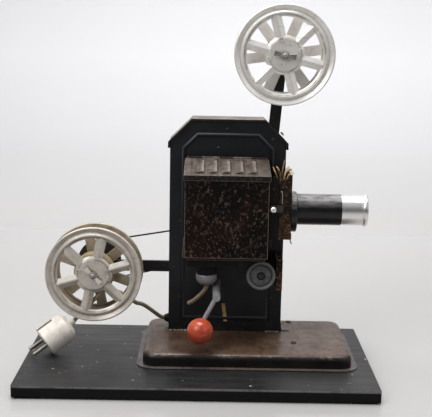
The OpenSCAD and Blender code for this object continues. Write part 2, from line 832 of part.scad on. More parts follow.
module gate_frame() {
    g = gate_sheet;
    wall_top = lamp_top - skirt_h - 3;
    color("#191614")
    difference() {
        union() {
            along_x(lamp_right, lamp_right + g) gate_face(gate_front, gate_back, wall_top);
            along_x(track_x, track_x + g) gate_face(gate_front, gate_back, gate_top);
            for (y = [gate_front, gate_back - g]) along_y(y, y + g) polygon([[lamp_right, gate_low],
                [door_side_x - 1, gate_low], [door_side_x - 1, gate_top - 4], [track_x, gate_top],
                [track_x - 3, gate_top], [lamp_right, wall_top]]);
            for (z = [gate_low + 6, gate_top - 20]) hinge_leaf(z, 8);
        }
        rod_x([film_y, optic_z], lamp_right - 1, lamp_right + g + 1, condenser_r + 1);
        translate([track_x - 1, film_y - 5.2, optic_z - 3.8]) cube([g + 2, 10.4, 7.6]);
        translate([door_pin.x, door_pin.y, gate_low]) cylinder(r = door_pin_r + push_gap, h = gate_h);
        rod_y(latch_at, gate_front - 1, gate_front + g + 1, latch_stem_r + run_gap);
    }
}

module gate_face(y0, y1, top) {
    translate([y0, gate_low]) square([y1 - y0, top - gate_low]);
}

// Fixed arm from the gate's back wall to the door's hinge pin
module hinge_leaf(z, h) {
    reach = [door_pin.x - track_x, gate_sheet];
    translate([0, 0, z]) linear_extrude(h) {
        translate([track_x, gate_back - gate_sheet]) square(reach);
        translate(door_pin) circle(door_knuckle_r);
        translate([door_pin.x - door_knuckle_r, gate_back - gate_sheet])
            square([2 * door_knuckle_r, door_pin.y - gate_back + gate_sheet]);
    }
}

// Fibre plate that the film slides on, flared at its top
module film_track() {
    x = track_x + gate_sheet;
    t = 1.6;
    color("#a8885c")
    difference() {
        along_y(gate_front + 3, gate_back - 3)
            polygon([[x, gate_low + 2], [x + t, gate_low + 2], [x + t, gate_top - 2],
                [x + t - 2.5, gate_top + 5], [x - 2.5, gate_top + 5], [x, gate_top]]);
        translate([x - 1, film_y - 5.2, optic_z - 3.8]) cube([t + 2, 10.4, 7.6]);
    }
}

// Hinged tray that carries the lens collar
module gate_door() {
    g = gate_sheet;
    low = gate_low + 1;
    top = gate_top - 1;
    front = gate_front;
    back = film_y + barrel_r + 2 * free_gap + g;
    color("#5a3d2a")
    difference() {
        union() {
            along_x(door_x, door_x + g) translate([front, low]) square([back - front, top - low]);
            for (y = [front, back - g]) along_y(y, y + g) polygon([[door_side_x, low], [door_x + g, low],
                [door_x + g, top + 4], [door_x - 3, top], [door_side_x, top - 3]]);
            translate([0, 0, gate_low + 15]) linear_extrude(gate_h - 36) door_knuckle(back);
        }
        rod_x([film_y, optic_z], door_x - 1, door_x + g + 1, barrel_r + free_gap);
        translate([door_pin.x, door_pin.y, gate_low]) cylinder(r = door_pin_r + run_gap, h = gate_h);
    }
}

module door_knuckle(back) {
    translate(door_pin) circle(door_knuckle_r);
    translate([door_x, back - 1]) square([gate_sheet, door_pin.y - back]);
}

// Thick round plate on the tray, its bore a little above its middle
module lens_collar() {
    drop = 3;
    edge = 0.8;
    color("#121212")
    difference() {
        translate([collar_x, film_y, optic_z - drop]) rotate([0, 90, 0]) rotate_extrude()
            polygon([[0, 0], [collar_r - edge, 0], [collar_r, edge], [collar_r, collar_l - edge],
                [collar_r - edge, collar_l], [0, collar_l]]);
        rod_x([film_y, optic_z], collar_x - 1, collar_x + collar_l + 1, barrel_r + run_gap);
    }
}

module lens_barrel() {
    wall = 1.5;
    seat = 6;
    color("#1a1a1b")
    translate([barrel_x, film_y, optic_z]) rotate([0, 90, 0]) rotate_extrude() difference() {
        square([barrel_r, barrel_l]);
        translate([-1, seat]) square([barrel_r - wall + 1, barrel_l - seat + 1]);
        translate([-1, -1]) square([glass_r + push_gap + 1, seat + 2]);
    }
}

// Bright ring on the front of the barrel, with a beaded mouth
module lens_ring() {
    l = lens_ring_l;
    r = barrel_r - 0.4;
    color("#d0d2d4")
    translate([lens_ring_x, film_y, optic_z]) rotate([0, 90, 0]) rotate_extrude() difference() {
        polygon([[0, 0], [r + 0.2, 0], [r + 0.2, l - 7], [r - 0.4, l - 6.5], [r - 0.4, l - 5],
            [r + 0.9, l - 4.4], [r + 1.3, l - 3], [r + 1.3, l - 1.2], [r + 0.7, l], [0, l]]);
        translate([-1, -1]) square([glass_r + push_gap + 1, l + 2]);
        translate([-1, l - 8]) square([r - 1.5, 9]);
    }
}

// Double-convex lens of thickness t, its first face at x
module glass(x, t) {
    r = 32;
    translate([x, film_y, optic_z]) rotate([0, 90, 0]) rotate_extrude() intersection() {
        translate([0, r]) circle(r, $fn = 128);
        translate([0, t - r]) circle(r, $fn = 128);
        square([glass_r, t]);
    }
}

module lens_glasses() {
    color("#cfe0e6", 0.4) {
        glass(barrel_x + 0.5, 8);
        glass(lens_ring_x + lens_ring_l - 17, 9);
    }
}

// Leaf that turns with its knob and lies across the door's edge at rest
module gate_latch() {
    round_r = 4.2;
    wide = 8;
    reach = 12;
    color("#4a4038")
    difference() {
        union() {
            along_y(latch_y, latch_y + latch_t) translate(latch_at) {
                circle(round_r);
                translate([0, -wide / 2]) square([reach, wide]);
            }
            rod_y(latch_at, latch_y, gate_front - run_gap, 2.4);
        }
        rod_y(latch_at, latch_y - 1, gate_front + 1, latch_stem_r + push_gap);
    }
}

// Bright ball on a stem that turns in the gate's front wall and has a head behind it
module latch_knob() {
    inside = gate_front + gate_sheet + run_gap;
    color("#d8d8d6")
    union() {
        rod_y(latch_at, latch_y, inside, latch_stem_r);
        rod_y(latch_at, inside, inside + 0.8, latch_stem_r + 0.4);
        turned_y(latch_at, latch_y) {
            square([2, 1]);
            intersection() {
                translate([0, latch_knob_r + 0.2]) circle(latch_knob_r);
                translate([0, 0.4]) square([latch_knob_r, 2 * latch_knob_r]);
            }
        }
    }
}

// Film shoe and presser

// Rusty guide beside the sprocket, standing on the panel
module film_shoe() {
    low = sprocket_at.y - shoe_drop;
    high = sprocket_at.y + shoe_rise;
    t = 1.2;
    front = film_y - sprocket_half - 2;
    color("#6b4426")
    difference() {
        union() {
            along_x(shoe_x, shoe_x + t) translate([front, low]) square([panel_y - front, high - low]);
            along_y(front, front + t) translate([shoe_x, low]) square([7, high - low]);
            along_y(panel_y - t, panel_y) translate([shoe_x, low]) square([8, high - low]);
        }
        for (i = [0:3]) translate([shoe_x - 1, front - 1, low + 4 + 8.5 * i]) rotate([0, 35, 0])
            cube([5, t + 2, 3]);
    }
}

// Swinging arm with a fixed roller that keeps the film on the sprocket
module presser_arm() {
    y0 = presser_front;
    boss_r = presser_pin_r + 1.6;
    color("#9a9a98")
    difference() {
        union() {
            along_y(y0, y0 + 1.4) hull() {
                translate(presser_pin) circle(boss_r, $fn = 32);
                translate(presser_roll) circle(2.4, $fn = 32);
            }
            rod_y(presser_roll, y0, film_y + sprocket_half - presser_inset, presser_roll_r);
            rod_y(presser_pin, y0, panel_y - free_gap, boss_r);
        }
        rod_y(presser_pin, y0 - 1, panel_y, presser_pin_r + run_gap);
    }
}

// Reel arms and reels

module upper_arm() {
    l = norm(supply_at - upper_foot);
    color("#141414")
    difference() {
        translate([upper_foot.x, 0, upper_foot.y]) rotate([0, upper_lean, 0])
            along_y(panel_back, arm_back) {
                translate([-arm_w / 2, -2]) square([arm_w, l + 2]);
                translate([0, l]) circle(arm_w / 2);
            }
        for (at = upper_screws_at) rod_y(at, panel_back - 1, arm_back + 1, screw_r + push_gap);
        rod_y(supply_at, panel_back - 1, arm_back + 1, spindle_r + push_gap);
    }
}

module lower_arm() {
    inner = column_left + 29;
    color("#141414")
    difference() {
        along_y(panel_back, arm_back) {
            translate([takeup_x, takeup_z - arm_w / 2]) square([inner - takeup_x, arm_w]);
            translate(takeup_at) circle(arm_w / 2);
        }
        for (at = lower_screws_at) rod_y(at, panel_back - 1, arm_back + 1, screw_r + push_gap);
        rod_y(takeup_at, panel_back - 1, arm_back + 1, spindle_r + bush_wall);
    }
}

// Fixed spindle with a shoulder on the arm, a nut behind it and a necked nose for the keeper
module supply_spindle() {
    nut_t = 4.5;
    color("#8a877f")
    union() {
        rod_y(supply_at, spindle_nose, arm_back + nut_t / 2, spindle_r);
        rod_y(supply_at, film_y + reel_half + free_gap, panel_back, spindle_r + 3);
        translate([supply_x, arm_back + nut_t, supply_z]) rotate([90, 0, 0])
            cylinder(r = 2 * spindle_r, h = nut_t, $fn = 6);
        keeper_screw(supply_at);
    }
}

// Neck and round head in front of a spindle, which hold its keeper
module keeper_screw(at) {
    rod_y(at, spindle_nose - keeper_t - 2 * run_gap, spindle_nose, keeper_neck_r);
    turned_y(at, spindle_nose - keeper_t - 2 * run_gap)
        polygon([[0, 0], [3, 0], [2.6, 1.2], [1.4, 1.9], [0, 2]]);
}

// Bow-tie cross bar that keeps a reel on its spindle
module keeper(at, turn) {
    long = 12.5;
    wide = 3;
    waist = 3.6;
    thin = 1.8;
    y1 = spindle_nose - run_gap;
    difference() {
        translate([at.x, 0, at.y]) rotate([0, -turn, 0]) along_y(y1 - keeper_t, y1)
            polygon([[-long, -wide], [-long, wide], [-waist, thin], [-waist, waist], [waist, waist],
                [waist, thin], [long, wide], [long, -wide], [waist, -thin], [waist, -waist],
                [-waist, -waist], [-waist, -thin]]);
        rod_y(at, y1 - keeper_t - 1, y1 + 1, keeper_neck_r + run_gap);
    }
}

// One flange, its inner face at local z = 0 and its ribs towards +z
module reel_flange(bore) {
    t = flange_t;
    valley_r = rim_in_r + 0.55 * rim_w;
    crest_r = rim_in_r + 0.3 * rim_w;
    difference() {
        union() {
            rotate_extrude() polygon([[rim_in_r, 0], [reel_r - 0.8, 0], [reel_r, 0.6], [reel_r, 0.85 * t],
                [reel_r - 0.9, t], [reel_r - 2, 0.9 * t], [valley_r, 0.35 * t], [crest_r + 0.8, 0.95 * t],
                [crest_r - 0.6, t], [rim_in_r, 0.45 * t]]);
            rotate_extrude() polygon([[0, 0], [hub_r + 3.5, 0], [hub_r + 3.5, 0.3 * t],
                [hub_r - 0.8, 0.85 * t], [0, 0.85 * t]]);
            for (i = [0:spokes - 1]) rotate(360 * i / spokes) translate([hub_r, 0, 0]) spoke();
            for (i = [0:3]) rotate(90 * i - 30) translate([hub_r - 3.4, -2.4, 0]) cube([4.4, 4.8, t]);
        }
        translate([0, 0, -1]) cylinder(r = bore, h = t + 2);
    }
}

// Roof-shaped bar from the hub into the flange's rim
module spoke() {
    crest_w = 1.6;
    rotate([90, 0, 90]) linear_extrude(rim_in_r - hub_r + 2)
        polygon([[-spoke_w / 2, 0], [spoke_w / 2, 0], [spoke_w / 2, 0.25 * flange_t],
            [crest_w / 2, 0.8 * flange_t], [-crest_w / 2, 0.8 * flange_t], [-spoke_w / 2, 0.25 * flange_t]]);
}

// Places a flange on a reel's front or rear side, turned by a
module front_flange(at, a, bore) {
    translate([at.x, film_y - reel_gap / 2, at.y]) rotate([90, 0, 0]) rotate(a) reel_flange(bore);
}
module rear_flange(at, a, bore) {
    translate([at.x, film_y + reel_gap / 2, at.y]) rotate([-90, 0, 0]) rotate(-a) reel_flange(bore);
}

module reel_core(at, bore) {
    difference() {
        rod_y(at, film_y - reel_gap / 2, film_y + reel_gap / 2, drum_r);
        rod_y(at, film_y - reel_half, film_y + reel_half, bore);
    }
}

module supply_front_flange() {
    color("#bebcb8") front_flange(supply_at, 45, spindle_r + run_gap);
}

module supply_rear_flange() {
    color("#b4b0a8") rear_flange(supply_at, 8, spindle_r + run_gap);
}

module supply_core() {
    color("#a59c8c") reel_core(supply_at, spindle_r + run_gap);
}

module supply_keeper() {
    color("#8d8168") keeper(supply_at, -10);
}

module takeup_front_flange() {
    color("#bebcb8") front_flange(takeup_at, 17, spindle_r + push_gap);
}

module takeup_rear_flange() {
    color("#a89c88") rear_flange(takeup_at, 40, spindle_r + push_gap);
}

module takeup_core() {
    color("#a59c8c") reel_core(takeup_at, spindle_r + push_gap);
}

module takeup_keeper() {
    color("#8d8168") keeper(takeup_at, -45);
}

// Turning spindle of the lower reel, with a collar between reel and arm and the pulley's seat
module takeup_spindle() {
    color("#8a877f")
    union() {
        rod_y(takeup_at, spindle_nose, belt_y + pulley_t / 2 + 1, spindle_r);
        rod_y(takeup_at, film_y + reel_half, panel_back - 0.5 - free_gap, spindle_r + 3);
        keeper_screw(takeup_at);
    }
}

// Grooved pulley, its belt running at run_r and its bore cut by the children
module pulley(at, run_r) {
    groove = belt_d / 2 + 0.3;
    floor_r = run_r - groove;
    rim_r = run_r + 2;
    half = pulley_t / 2;
    difference() {
        turned_y(at, belt_y + half)
            polygon([[0, 0], [rim_r, 0], [rim_r, 1.2], [floor_r, half - groove], [floor_r, half + groove],
                [rim_r, pulley_t - 1.2], [rim_r, pulley_t], [0, pulley_t]]);
        children();
    }
}

module takeup_pulley() {
    color("#3b3129")
    pulley(takeup_at, takeup_run_r)
        rod_y(takeup_at, belt_y - pulley_t, belt_y + pulley_t, spindle_r + push_gap);
}

// Drive

// Round belt, closed round both pulleys
module drive_belt() {
    color("#22211f") loop_tube(belt_path, belt_d / 2, 8, [0, 1, 0]);
}

// Shaft with a squared seat behind its front journal
module squared_shaft(at, front, seat, seat_end, r) {
    rod_y(at, front, seat, r);
    square_y(at, seat, seat_end, square_side(r));
    rod_y(at, seat_end, plate_y + plate_t + 1, rear_r(r));
}

module gear(teeth, phase, at, seat_r) {
    side = square_side(seat_r) + 2 * push_gap;
    along_y(gear_y, gear_y + gear_t) translate(at) difference() {
        polygon(gear_points(teeth, phase));
        square(side, center = true);
    }
}

module crank_shaft() {
    color("#8b8d8f")
    difference() {
        union() {
            squared_shaft(crank_at, panel_y - 0.4, gear_y, gear_y + gear_t, crank_journal_r);
            rod_y(crank_at, crank_front - shaft_r, panel_y - 0.4, shaft_r);
        }
        translate([crank_at.x, crank_front, crank_at.y]) rotate([0, 90 - crank_angle, 0])
            translate([0, 0, -shaft_r]) cylinder(r = rod_r + push_gap, h = 3 * shaft_r);
    }
}

// Bent rod: a radial arm through the shaft's end and a pin for the knob
module crank_arm() {
    reach = crank_throw - crank_bend;
    stem_l = crank_front - crank_bend - knob_y + knob_grip;
    color("#8b8d8f")
    translate([crank_at.x, crank_front, crank_at.y]) rotate([0, -crank_angle, 0]) union() {
        translate([-shaft_r, 0, 0]) rotate([0, 90, 0]) cylinder(r = rod_r, h = reach + shaft_r);
        translate([reach, -crank_bend, 0]) rotate_extrude(angle = 90)
            translate([crank_bend, 0]) circle(rod_r);
        translate([crank_throw, -crank_bend, 0]) rotate([90, 0, 0]) cylinder(r = rod_r, h = stem_l);
    }
}

// Ball knob that turns on the crank's pin
module crank_knob() {
    neck = 6;
    color("#cd4b2d")
    difference() {
        turned_y(crank_pin_at, knob_y) {
            intersection() {
                circle(knob_r);
                translate([0, -knob_r]) square([knob_r, 2 * knob_r]);
            }
            translate([0, -knob_r + 0.2]) square([neck, 4]);
        }
        rod_y(crank_pin_at, knob_y - knob_grip - free_gap, knob_y + knob_r + 1, rod_r + run_gap);
    }
}

module crank_gear() {
    color("#a8894a") gear(crank_teeth, 0, crank_at, crank_journal_r);
}

// Pinion, driving disc and crank pin of the star wheel on one shaft
module star_driver() {
    pin_at = driver_at + star_l * sin(180 / star_slots) * [cos(train_angle), sin(train_angle)];
    lock_r = star_l * (1 - cos(180 / star_slots)) + 5;
    pin_y = driver_y + driver_t;
    color("#8f8b80")
    union() {
        squared_shaft(driver_at, panel_back + 0.3, gear_y, driver_y + driver_t, driver_journal_r);
        along_y(gear_y, gear_y + gear_t) translate(driver_at)
            polygon(gear_points(pinion_teeth, pinion_phase));
        rod_y(driver_at, driver_y, pin_y, star_l * sin(180 / star_slots) + 3);
        rod_y(pin_at, driver_y, pin_y + star_pin_l, 1.4);
        difference() {
            rod_y(driver_at, driver_y, pin_y + star_pin_l, lock_r);
            rod_y(sprocket_at, pin_y, pin_y + star_pin_l + 1, star_l * cos(180 / star_slots) + 0.5);
        }
    }
}

// Slotted star wheel and the shaft that carries the film sprocket
module star_wheel() {
    slot_w = 3;
    star_r = star_l * cos(180 / star_slots);
    slot_in = star_l * (1 - sin(180 / star_slots)) - 2;
    color("#94917f")
    union() {
        squared_shaft(sprocket_at, film_y - sprocket_half - disc_t - 1.2, star_y, star_y + star_t,
            star_journal_r);
        along_y(star_y, star_y + star_t) translate(sprocket_at) difference() {
            circle(star_r);
            for (i = [0:star_slots - 1]) rotate(180 + train_angle + 360 * i / star_slots) {
                translate([slot_in, -slot_w / 2]) square([star_r, slot_w]);
                rotate(180 / star_slots) translate([star_l, 0])
                    circle(star_l * (1 - cos(180 / star_slots)) + 5.3);
            }
        }
    }
}

// Toothed drum with its dished front disc
module film_sprocket() {
    half = sprocket_half;
    front = film_y - half;
    disc = sprocket_disc_r;
    tooth_row = 6.2;
    tooth_w = 1.2;
    color("#8e9092")
    difference() {
        union() {
            rod_y(sprocket_at, front, film_y + half, sprocket_r);
            rod_y(sprocket_at, film_y + half, film_y + half + 1.2, sprocket_r + 2);
            turned_y(sprocket_at, front)
                polygon([[0, 0], [disc - 0.6, 0], [disc, 0.6], [disc, disc_t - 0.8], [disc - 0.9, disc_t],
                    [disc - 2.4, disc_t], [disc - 4, 1.4], [5, 1.4], [4, disc_t], [0, disc_t]]);
            for (i = [0:star_slots - 1], y = [-tooth_row, tooth_row])
                translate([sprocket_at.x, film_y + y, sprocket_at.y]) rotate([0, -360 * i / star_slots, 0])
                    translate([sprocket_r - 0.5, -tooth_w / 2, -tooth_w / 2]) cube([1.6, tooth_w, tooth_w]);
        }
        rod_y(sprocket_at, front - disc_t - 1, film_y + half + 2, star_journal_r + push_gap);
    }
}

module belt_gear() {
    color("#a8894a")
    union() {
        along_y(gear_y, gear_y + gear_t) translate(belt_at) polygon(gear_points(belt_teeth, belt_phase));
        squared_shaft(belt_at, panel_back + 0.3, gear_y, belt_y + pulley_t / 2, belt_journal_r);
    }
}

module drive_pulley() {
    side = square_side(belt_journal_r) + 2 * push_gap;
    color("#3b3129")
    pulley(belt_at, drive_run_r) square_y(belt_at, belt_y - pulley_t, belt_y + pulley_t, side);
}

// Leads

module lamp_lead() {
    color("#aa8a55") tube(lead_path, lead_r, 10, [1, 0, 0]);
}

// Rubber bush in the housing's left wall
module cord_grommet() {
    color("#2b2622")
    translate([column_left, grommet_at.x, grommet_at.y]) rotate([0, -90, 0]) rotate_extrude()
        polygon([[0, -column_sheet - 2], [cord_r + 3, -column_sheet - 2], [cord_r + 3, -column_sheet],
            [cord_r + 1.4, -column_sheet], [cord_r + 1.4, 0], [cord_r + 3, 0], [cord_r + 3, 1.5],
            [cord_r + 1, grommet_nose], [0, grommet_nose]]);
}

module cord_stretch() {
    color("#aa9673") tube(stretch_path, cord_r, 10, [0, 0, 1]);
}

module cord_winding() {
    color("#aa9673") tube(winding_path, cord_r, 6, [0, 1, 0]);
}

module cord_tail() {
    color("#aa9673") tube(tail_path, cord_r, 10, [0, 1, 0]);
}

// Places a piece of the plug, its local +z running from the face to the lead
module on_plug() {
    translate(plug_face) rotate([0, 90 - plug_tilt, plug_yaw]) children();
}

// Moulded plug with a groove on two sides and a tapered back
module plug_body() {
    groove = 3.2;
    back = plug_l;
    color("#ebe1d4")
    on_plug() difference() {
        rotate_extrude() polygon([[0, 0], [plug_r - plug_edge, 0], [plug_r, plug_edge], [plug_r, back - 9],
            [plug_r - 2, back - 4], [11, back], [cord_r + 2, back], [cord_r + 1.2, back + plug_neck],
            [0, back + plug_neck]]);
        for (x = [-1, 1]) translate([x * plug_r, 0, (back - 16) / 2])
            cube([2 * groove, 6, back - 14], center = true);
    }
}

module plug_pins() {
    pin_gap = 19;
    pin_r = 2.4;
    color("#c9c6bd")
    on_plug() for (y = [-1, 1]) translate([0, y * pin_gap / 2, 0]) rotate_extrude()
        polygon([[0, -pin_l], [pin_r - 0.8, -pin_l], [pin_r, 0.8 - pin_l], [pin_r, 0], [0, 0]]);
}

board();
board_feet();
tin_base();
base_screws();
housing_shell();
front_panel();
hood();
bearing_plate();
pillars();
frame_screws();
bearing_bushes();
lamp_house();
lamp_lid();
hinge_pins();
lamp_holder();
lamp_socket();
lamp_bulb();
bulb_cap();
condenser_lens();
gate_frame();
film_track();
gate_door();
lens_collar();
lens_barrel();
lens_ring();
lens_glasses();
gate_latch();
latch_knob();
film_shoe();
presser_arm();
upper_arm();
lower_arm();
supply_spindle();
supply_front_flange();
supply_rear_flange();
supply_core();
supply_keeper();
takeup_front_flange();
takeup_rear_flange();
takeup_core();
takeup_spindle();
takeup_pulley();
takeup_keeper();
drive_belt();
crank_shaft();
crank_arm();
crank_knob();
crank_gear();
star_driver();
star_wheel();
film_sprocket();
belt_gear();
drive_pulley();
lamp_lead();
cord_grommet();
cord_stretch();
cord_winding();
cord_tail();
plug_body();
plug_pins();
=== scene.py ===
import math

import bmesh
import bpy
from mathutils import Matrix, Vector, noise


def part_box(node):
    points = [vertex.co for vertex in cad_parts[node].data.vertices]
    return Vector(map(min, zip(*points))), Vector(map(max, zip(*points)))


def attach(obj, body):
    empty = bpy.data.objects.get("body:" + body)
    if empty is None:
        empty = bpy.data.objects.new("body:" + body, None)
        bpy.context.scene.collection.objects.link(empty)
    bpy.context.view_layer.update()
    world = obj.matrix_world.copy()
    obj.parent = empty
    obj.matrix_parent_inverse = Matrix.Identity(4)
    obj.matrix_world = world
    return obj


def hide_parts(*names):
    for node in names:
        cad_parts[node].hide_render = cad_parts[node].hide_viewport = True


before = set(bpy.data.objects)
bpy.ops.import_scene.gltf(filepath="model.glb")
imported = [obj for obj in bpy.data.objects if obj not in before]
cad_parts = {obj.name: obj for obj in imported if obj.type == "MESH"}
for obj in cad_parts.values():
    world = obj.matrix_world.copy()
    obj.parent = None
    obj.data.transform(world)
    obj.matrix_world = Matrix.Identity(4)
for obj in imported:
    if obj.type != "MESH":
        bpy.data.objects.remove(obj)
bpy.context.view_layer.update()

MM = 0.001

# Camera: the photograph's viewpoint, with its picture taken as 432 by 417
IMAGE_W = 432
FOCAL_PX = 957.8
SENSOR_MM = 36
CAMERA_AT = Vector((10.2, -1079.2, 405.7)) * MM
CAMERA_PITCH = math.radians(11.212)
CAMERA_YAW = math.radians(0.423)
CAMERA_ROLL = math.radians(1.114)

# Shafts of the reels and the sprocket, as x and z in millimetres
SUPPLY_AXIS = (91.7, 367.3)
TAKEUP_AXIS = (-123, 111)
SPROCKET_AXIS = (72.2, 112)

# Radii of dark rings on a reel, at its hub and inside its rim: dirt and painted shadow lines
REEL_DIRT_AND_SHADOW_R = (18.5, 45)

# Radii on the sprocket's disc: its rim, the groove inside the rim, its boss and its screw
DISC_RIM_R = 12.8
DISC_GROOVE_R = 10.8
DISC_BOSS_R = 5.2
DISC_SCREW_R = 3.0

# Leads: routes repeated from the part's source in millimetres and degrees, their lengths in metres
CORD_R = 2.5
FILM_Y = 12
WINDING_R = 21.5
WINDING_FROM = 262
WINDING_TURN = 1025
WINDING_PITCH = 5.7
WINDING_STEPS = 100
CORD_EXIT = (-43, 62, 40.5)
CORD_STRETCH = [(-48, 61.5, 42), (-54, 57, 48), (-60, 49.5, 55), (-66, 40, 62.5), (-71, 31, 67.5),
                (-74, 24.5, 70), (-77, 20.5, 73), (-83, 20, 78), (-91, 20, 82.5), (-102, 20, 86)]
CORD_TAIL = [(-120, 4.2, 82.5), (-129, 5.5, 73), (-137, 7.5, 64), (-142.5, 8.8, 57.5),
             (-147.16, 6.94, 52.16)]
LAMP_LEAD = [(8.5, 12, 99), (8.5, 12, 95), (6, 15, 89), (0.5, 22, 81), (-5.5, 31, 73), (-10, 37, 68.5),
             (-12, 41, 66), (-12, 47.2, 66)]

# Plug: middle of its face, the turns in degrees that lay it on the board, and its radius
PLUG_FACE = (-179.5, -8, 29.905)
PLUG_TILT = 32
PLUG_YAW = 24.8
PLUG_R = 18.2

# Housing and lamp roof, in millimetres; the roof's margin is counted in louvre steps
BASE_TOP = 31
COLUMN_CHAMFER = 26
RIDGE_INSET = 14.5
RIDGE_W = 4
RIDGE_H = 1.2
ROOF_SLOPE = 0.2
ROOF_LEVEL = 237
ROOF_MARGIN = 1.6
LOUVRES = 5


def add_camera():
    """Camera at the photograph's viewpoint."""
    forward = Vector((math.sin(CAMERA_YAW) * math.cos(CAMERA_PITCH),
                      math.cos(CAMERA_YAW) * math.cos(CAMERA_PITCH), -math.sin(CAMERA_PITCH)))
    level = Vector((math.cos(CAMERA_YAW), -math.sin(CAMERA_YAW), 0))
    down = forward.cross(level)
    right = math.cos(CAMERA_ROLL) * level - math.sin(CAMERA_ROLL) * down
    up = -(math.cos(CAMERA_ROLL) * down + math.sin(CAMERA_ROLL) * level)
    data = bpy.data.cameras.new("camera")
    data.sensor_width = SENSOR_MM
    data.lens = FOCAL_PX / IMAGE_W * SENSOR_MM
    camera = bpy.data.objects.new("camera", data)
    turn = Matrix((right, up, -forward)).transposed()
    camera.matrix_world = Matrix.Translation(CAMERA_AT) @ turn.to_4x4()
    bpy.context.collection.objects.link(camera)
    bpy.context.scene.camera = camera


class Paint:
    """One procedural material, its texture places read in the part's own frame."""

    def __init__(self, name):
        self.material = bpy.data.materials.new(name)
        self.material.use_nodes = True
        self.tree = self.material.node_tree
        self.shader = self.tree.nodes["Principled BSDF"]
        self.coord = self.node("ShaderNodeTexCoord")
        self.place = self.coord.outputs["Object"]

    def node(self, kind, inputs=None, **settings):
        """Adds a node with its settings, and values or links on its inputs."""
        made = self.tree.nodes.new(kind)
        for key, value in settings.items():
            setattr(made, key, value)
        for key, value in (inputs or {}).items():
            self.put(made.inputs[key], value)
        return made

    def put(self, socket, value):
        """Links a socket to another, or sets its own value."""
        if isinstance(value, bpy.types.NodeSocket):
            self.tree.links.new(value, socket)
        else:
            socket.default_value = value

    def set(self, **values):
        """Sets the shader's inputs, named with _ for each space."""
        for key, value in values.items():
            self.put(self.shader.inputs[key.replace("_", " ")], value)
        return self

    def stretched(self, scale):
        """Texture places scaled along the axes, for streaks."""
        return self.node("ShaderNodeMapping", {"Vector": self.place, "Scale": scale}).outputs["Vector"]

    def noise(self, scale, detail=4.0, rough=0.55, place=None):
        """Cloudy value that lies mostly near 0.5."""
        inputs = {"Vector": place or self.place, "Scale": scale, "Detail": detail, "Roughness": rough}
        return self.node("ShaderNodeTexNoise", inputs).outputs["Fac"]

    def mask(self, value, low, high, to_low=0.0, to_high=1.0):
        """Value moved from one range to another and kept inside it."""
        inputs = {"Value": value, "From Min": low, "From Max": high, "To Min": to_low, "To Max": to_high}
        return self.node("ShaderNodeMapRange", inputs).outputs["Result"]

    def vary(self, noise, low, high):
        """A noise's usual spread, 0.3 to 0.7, moved to low to high."""
        return self.mask(noise, 0.3, 0.7, low, high)

    def math(self, operation, a, b):
        return self.node("ShaderNodeMath", {0: a, 1: b}, operation=operation).outputs[0]

    def times(self, a, b):
        return self.math("MULTIPLY", a, b)

    def either(self, a, b):
        return self.math("MAXIMUM", a, b)

    def mix(self, share, a, b):
        """Colour a, turned into colour b by a share."""
        made = self.node("ShaderNodeMix", data_type="RGBA")
        self.put(made.inputs["Factor"], share)
        self.put(made.inputs[6], a)
        self.put(made.inputs[7], b)
        return made.outputs[2]

    def along(self, axis):
        """Place along an axis, in metres."""
        return self.node("ShaderNodeSeparateXYZ", {0: self.place}).outputs[axis]

    def facing(self, axis):
        """How far a face looks along an axis, from -1 to 1."""
        return self.node("ShaderNodeSeparateXYZ", {0: self.coord.outputs["Normal"]}).outputs[axis]

    def from_axis(self, x, z):
        """Distance from a line along Y through x and z, given in millimetres."""
        flat = self.node("ShaderNodeVectorMath", {0: self.place, 1: (1, 0, 1)}, operation="MULTIPLY")
        ends = {0: flat.outputs["Vector"], 1: (x * MM, 0, z * MM)}
        return self.node("ShaderNodeVectorMath", ends, operation="DISTANCE").outputs["Value"]

    def rounded(self, radius):
        """Normal that rounds off sharp edges."""
        return self.node("ShaderNodeBevel", {"Radius": radius}, samples=4).outputs["Normal"]

    def edges(self, radius):
        """1 on sharp edges, 0 on flat faces."""
        flat = self.node("ShaderNodeNewGeometry").outputs["Normal"]
        dot = self.node("ShaderNodeVectorMath", {0: self.rounded(radius), 1: flat}, operation="DOT_PRODUCT")
        return self.mask(dot.outputs["Value"], 0.995, 0.9)

    def edge_wear_and_highlight(self, radius, patches, low, high):
        """Sharp edges, but only where the noise called patches is high."""
        return self.times(self.edges(radius), self.mask(patches, low, high))

    def crevice(self, reach):
        """1 in grooves and corners, 0 on open faces."""
        made = self.node("ShaderNodeAmbientOcclusion", {"Distance": reach}, samples=8)
        return self.mask(made.outputs["AO"], 0.85, 0.4)

    def bump(self, height, strength, depth, normal=None):
        """Normal bent by a height, over another normal where one is given."""
        made = self.node("ShaderNodeBump", {"Height": height, "Strength": strength, "Distance": depth})
        if normal is not None:
            self.put(made.inputs["Normal"], normal)
        return made.outputs["Normal"]


def tone(r, g, b):
    """Colour given as it looks, in 0 to 255, made linear."""
    def linear(v):
        v = v / 255
        return v / 12.92 if v <= 0.04045 else ((v + 0.055) / 1.055) ** 2.4
    return (linear(r), linear(g), linear(b), 1.0)


def enamel(name, colour, cloudy, worn, wear=0.5, rough=0.4, chips=0.66, shine=0.3, edge=0.5 * MM):
    """Old painted tin: cloudy paint, worn edges and small chips."""
    p = Paint(name)
    base = p.mix(p.mask(p.noise(30, 5), 0.35, 0.7), colour, cloudy)
    rim = p.edge_wear_and_highlight(edge, p.noise(420, 6, 0.7), 0.42, 0.6)
    flecks = p.mask(p.noise(260, 3, 0.6), chips, chips + 0.05)
    bare = p.either(p.times(rim, wear), p.times(flecks, 0.8 * wear))
    p.set(Base_Color=p.mix(bare, base, worn), Specular_IOR_Level=shine)
    p.set(Roughness=p.vary(p.noise(90, 4), rough - 0.06, rough + 0.14))
    p.set(Normal=p.bump(p.noise(1500, 3), 0.08, 0.2 * MM, p.rounded(edge)))
    return p.material


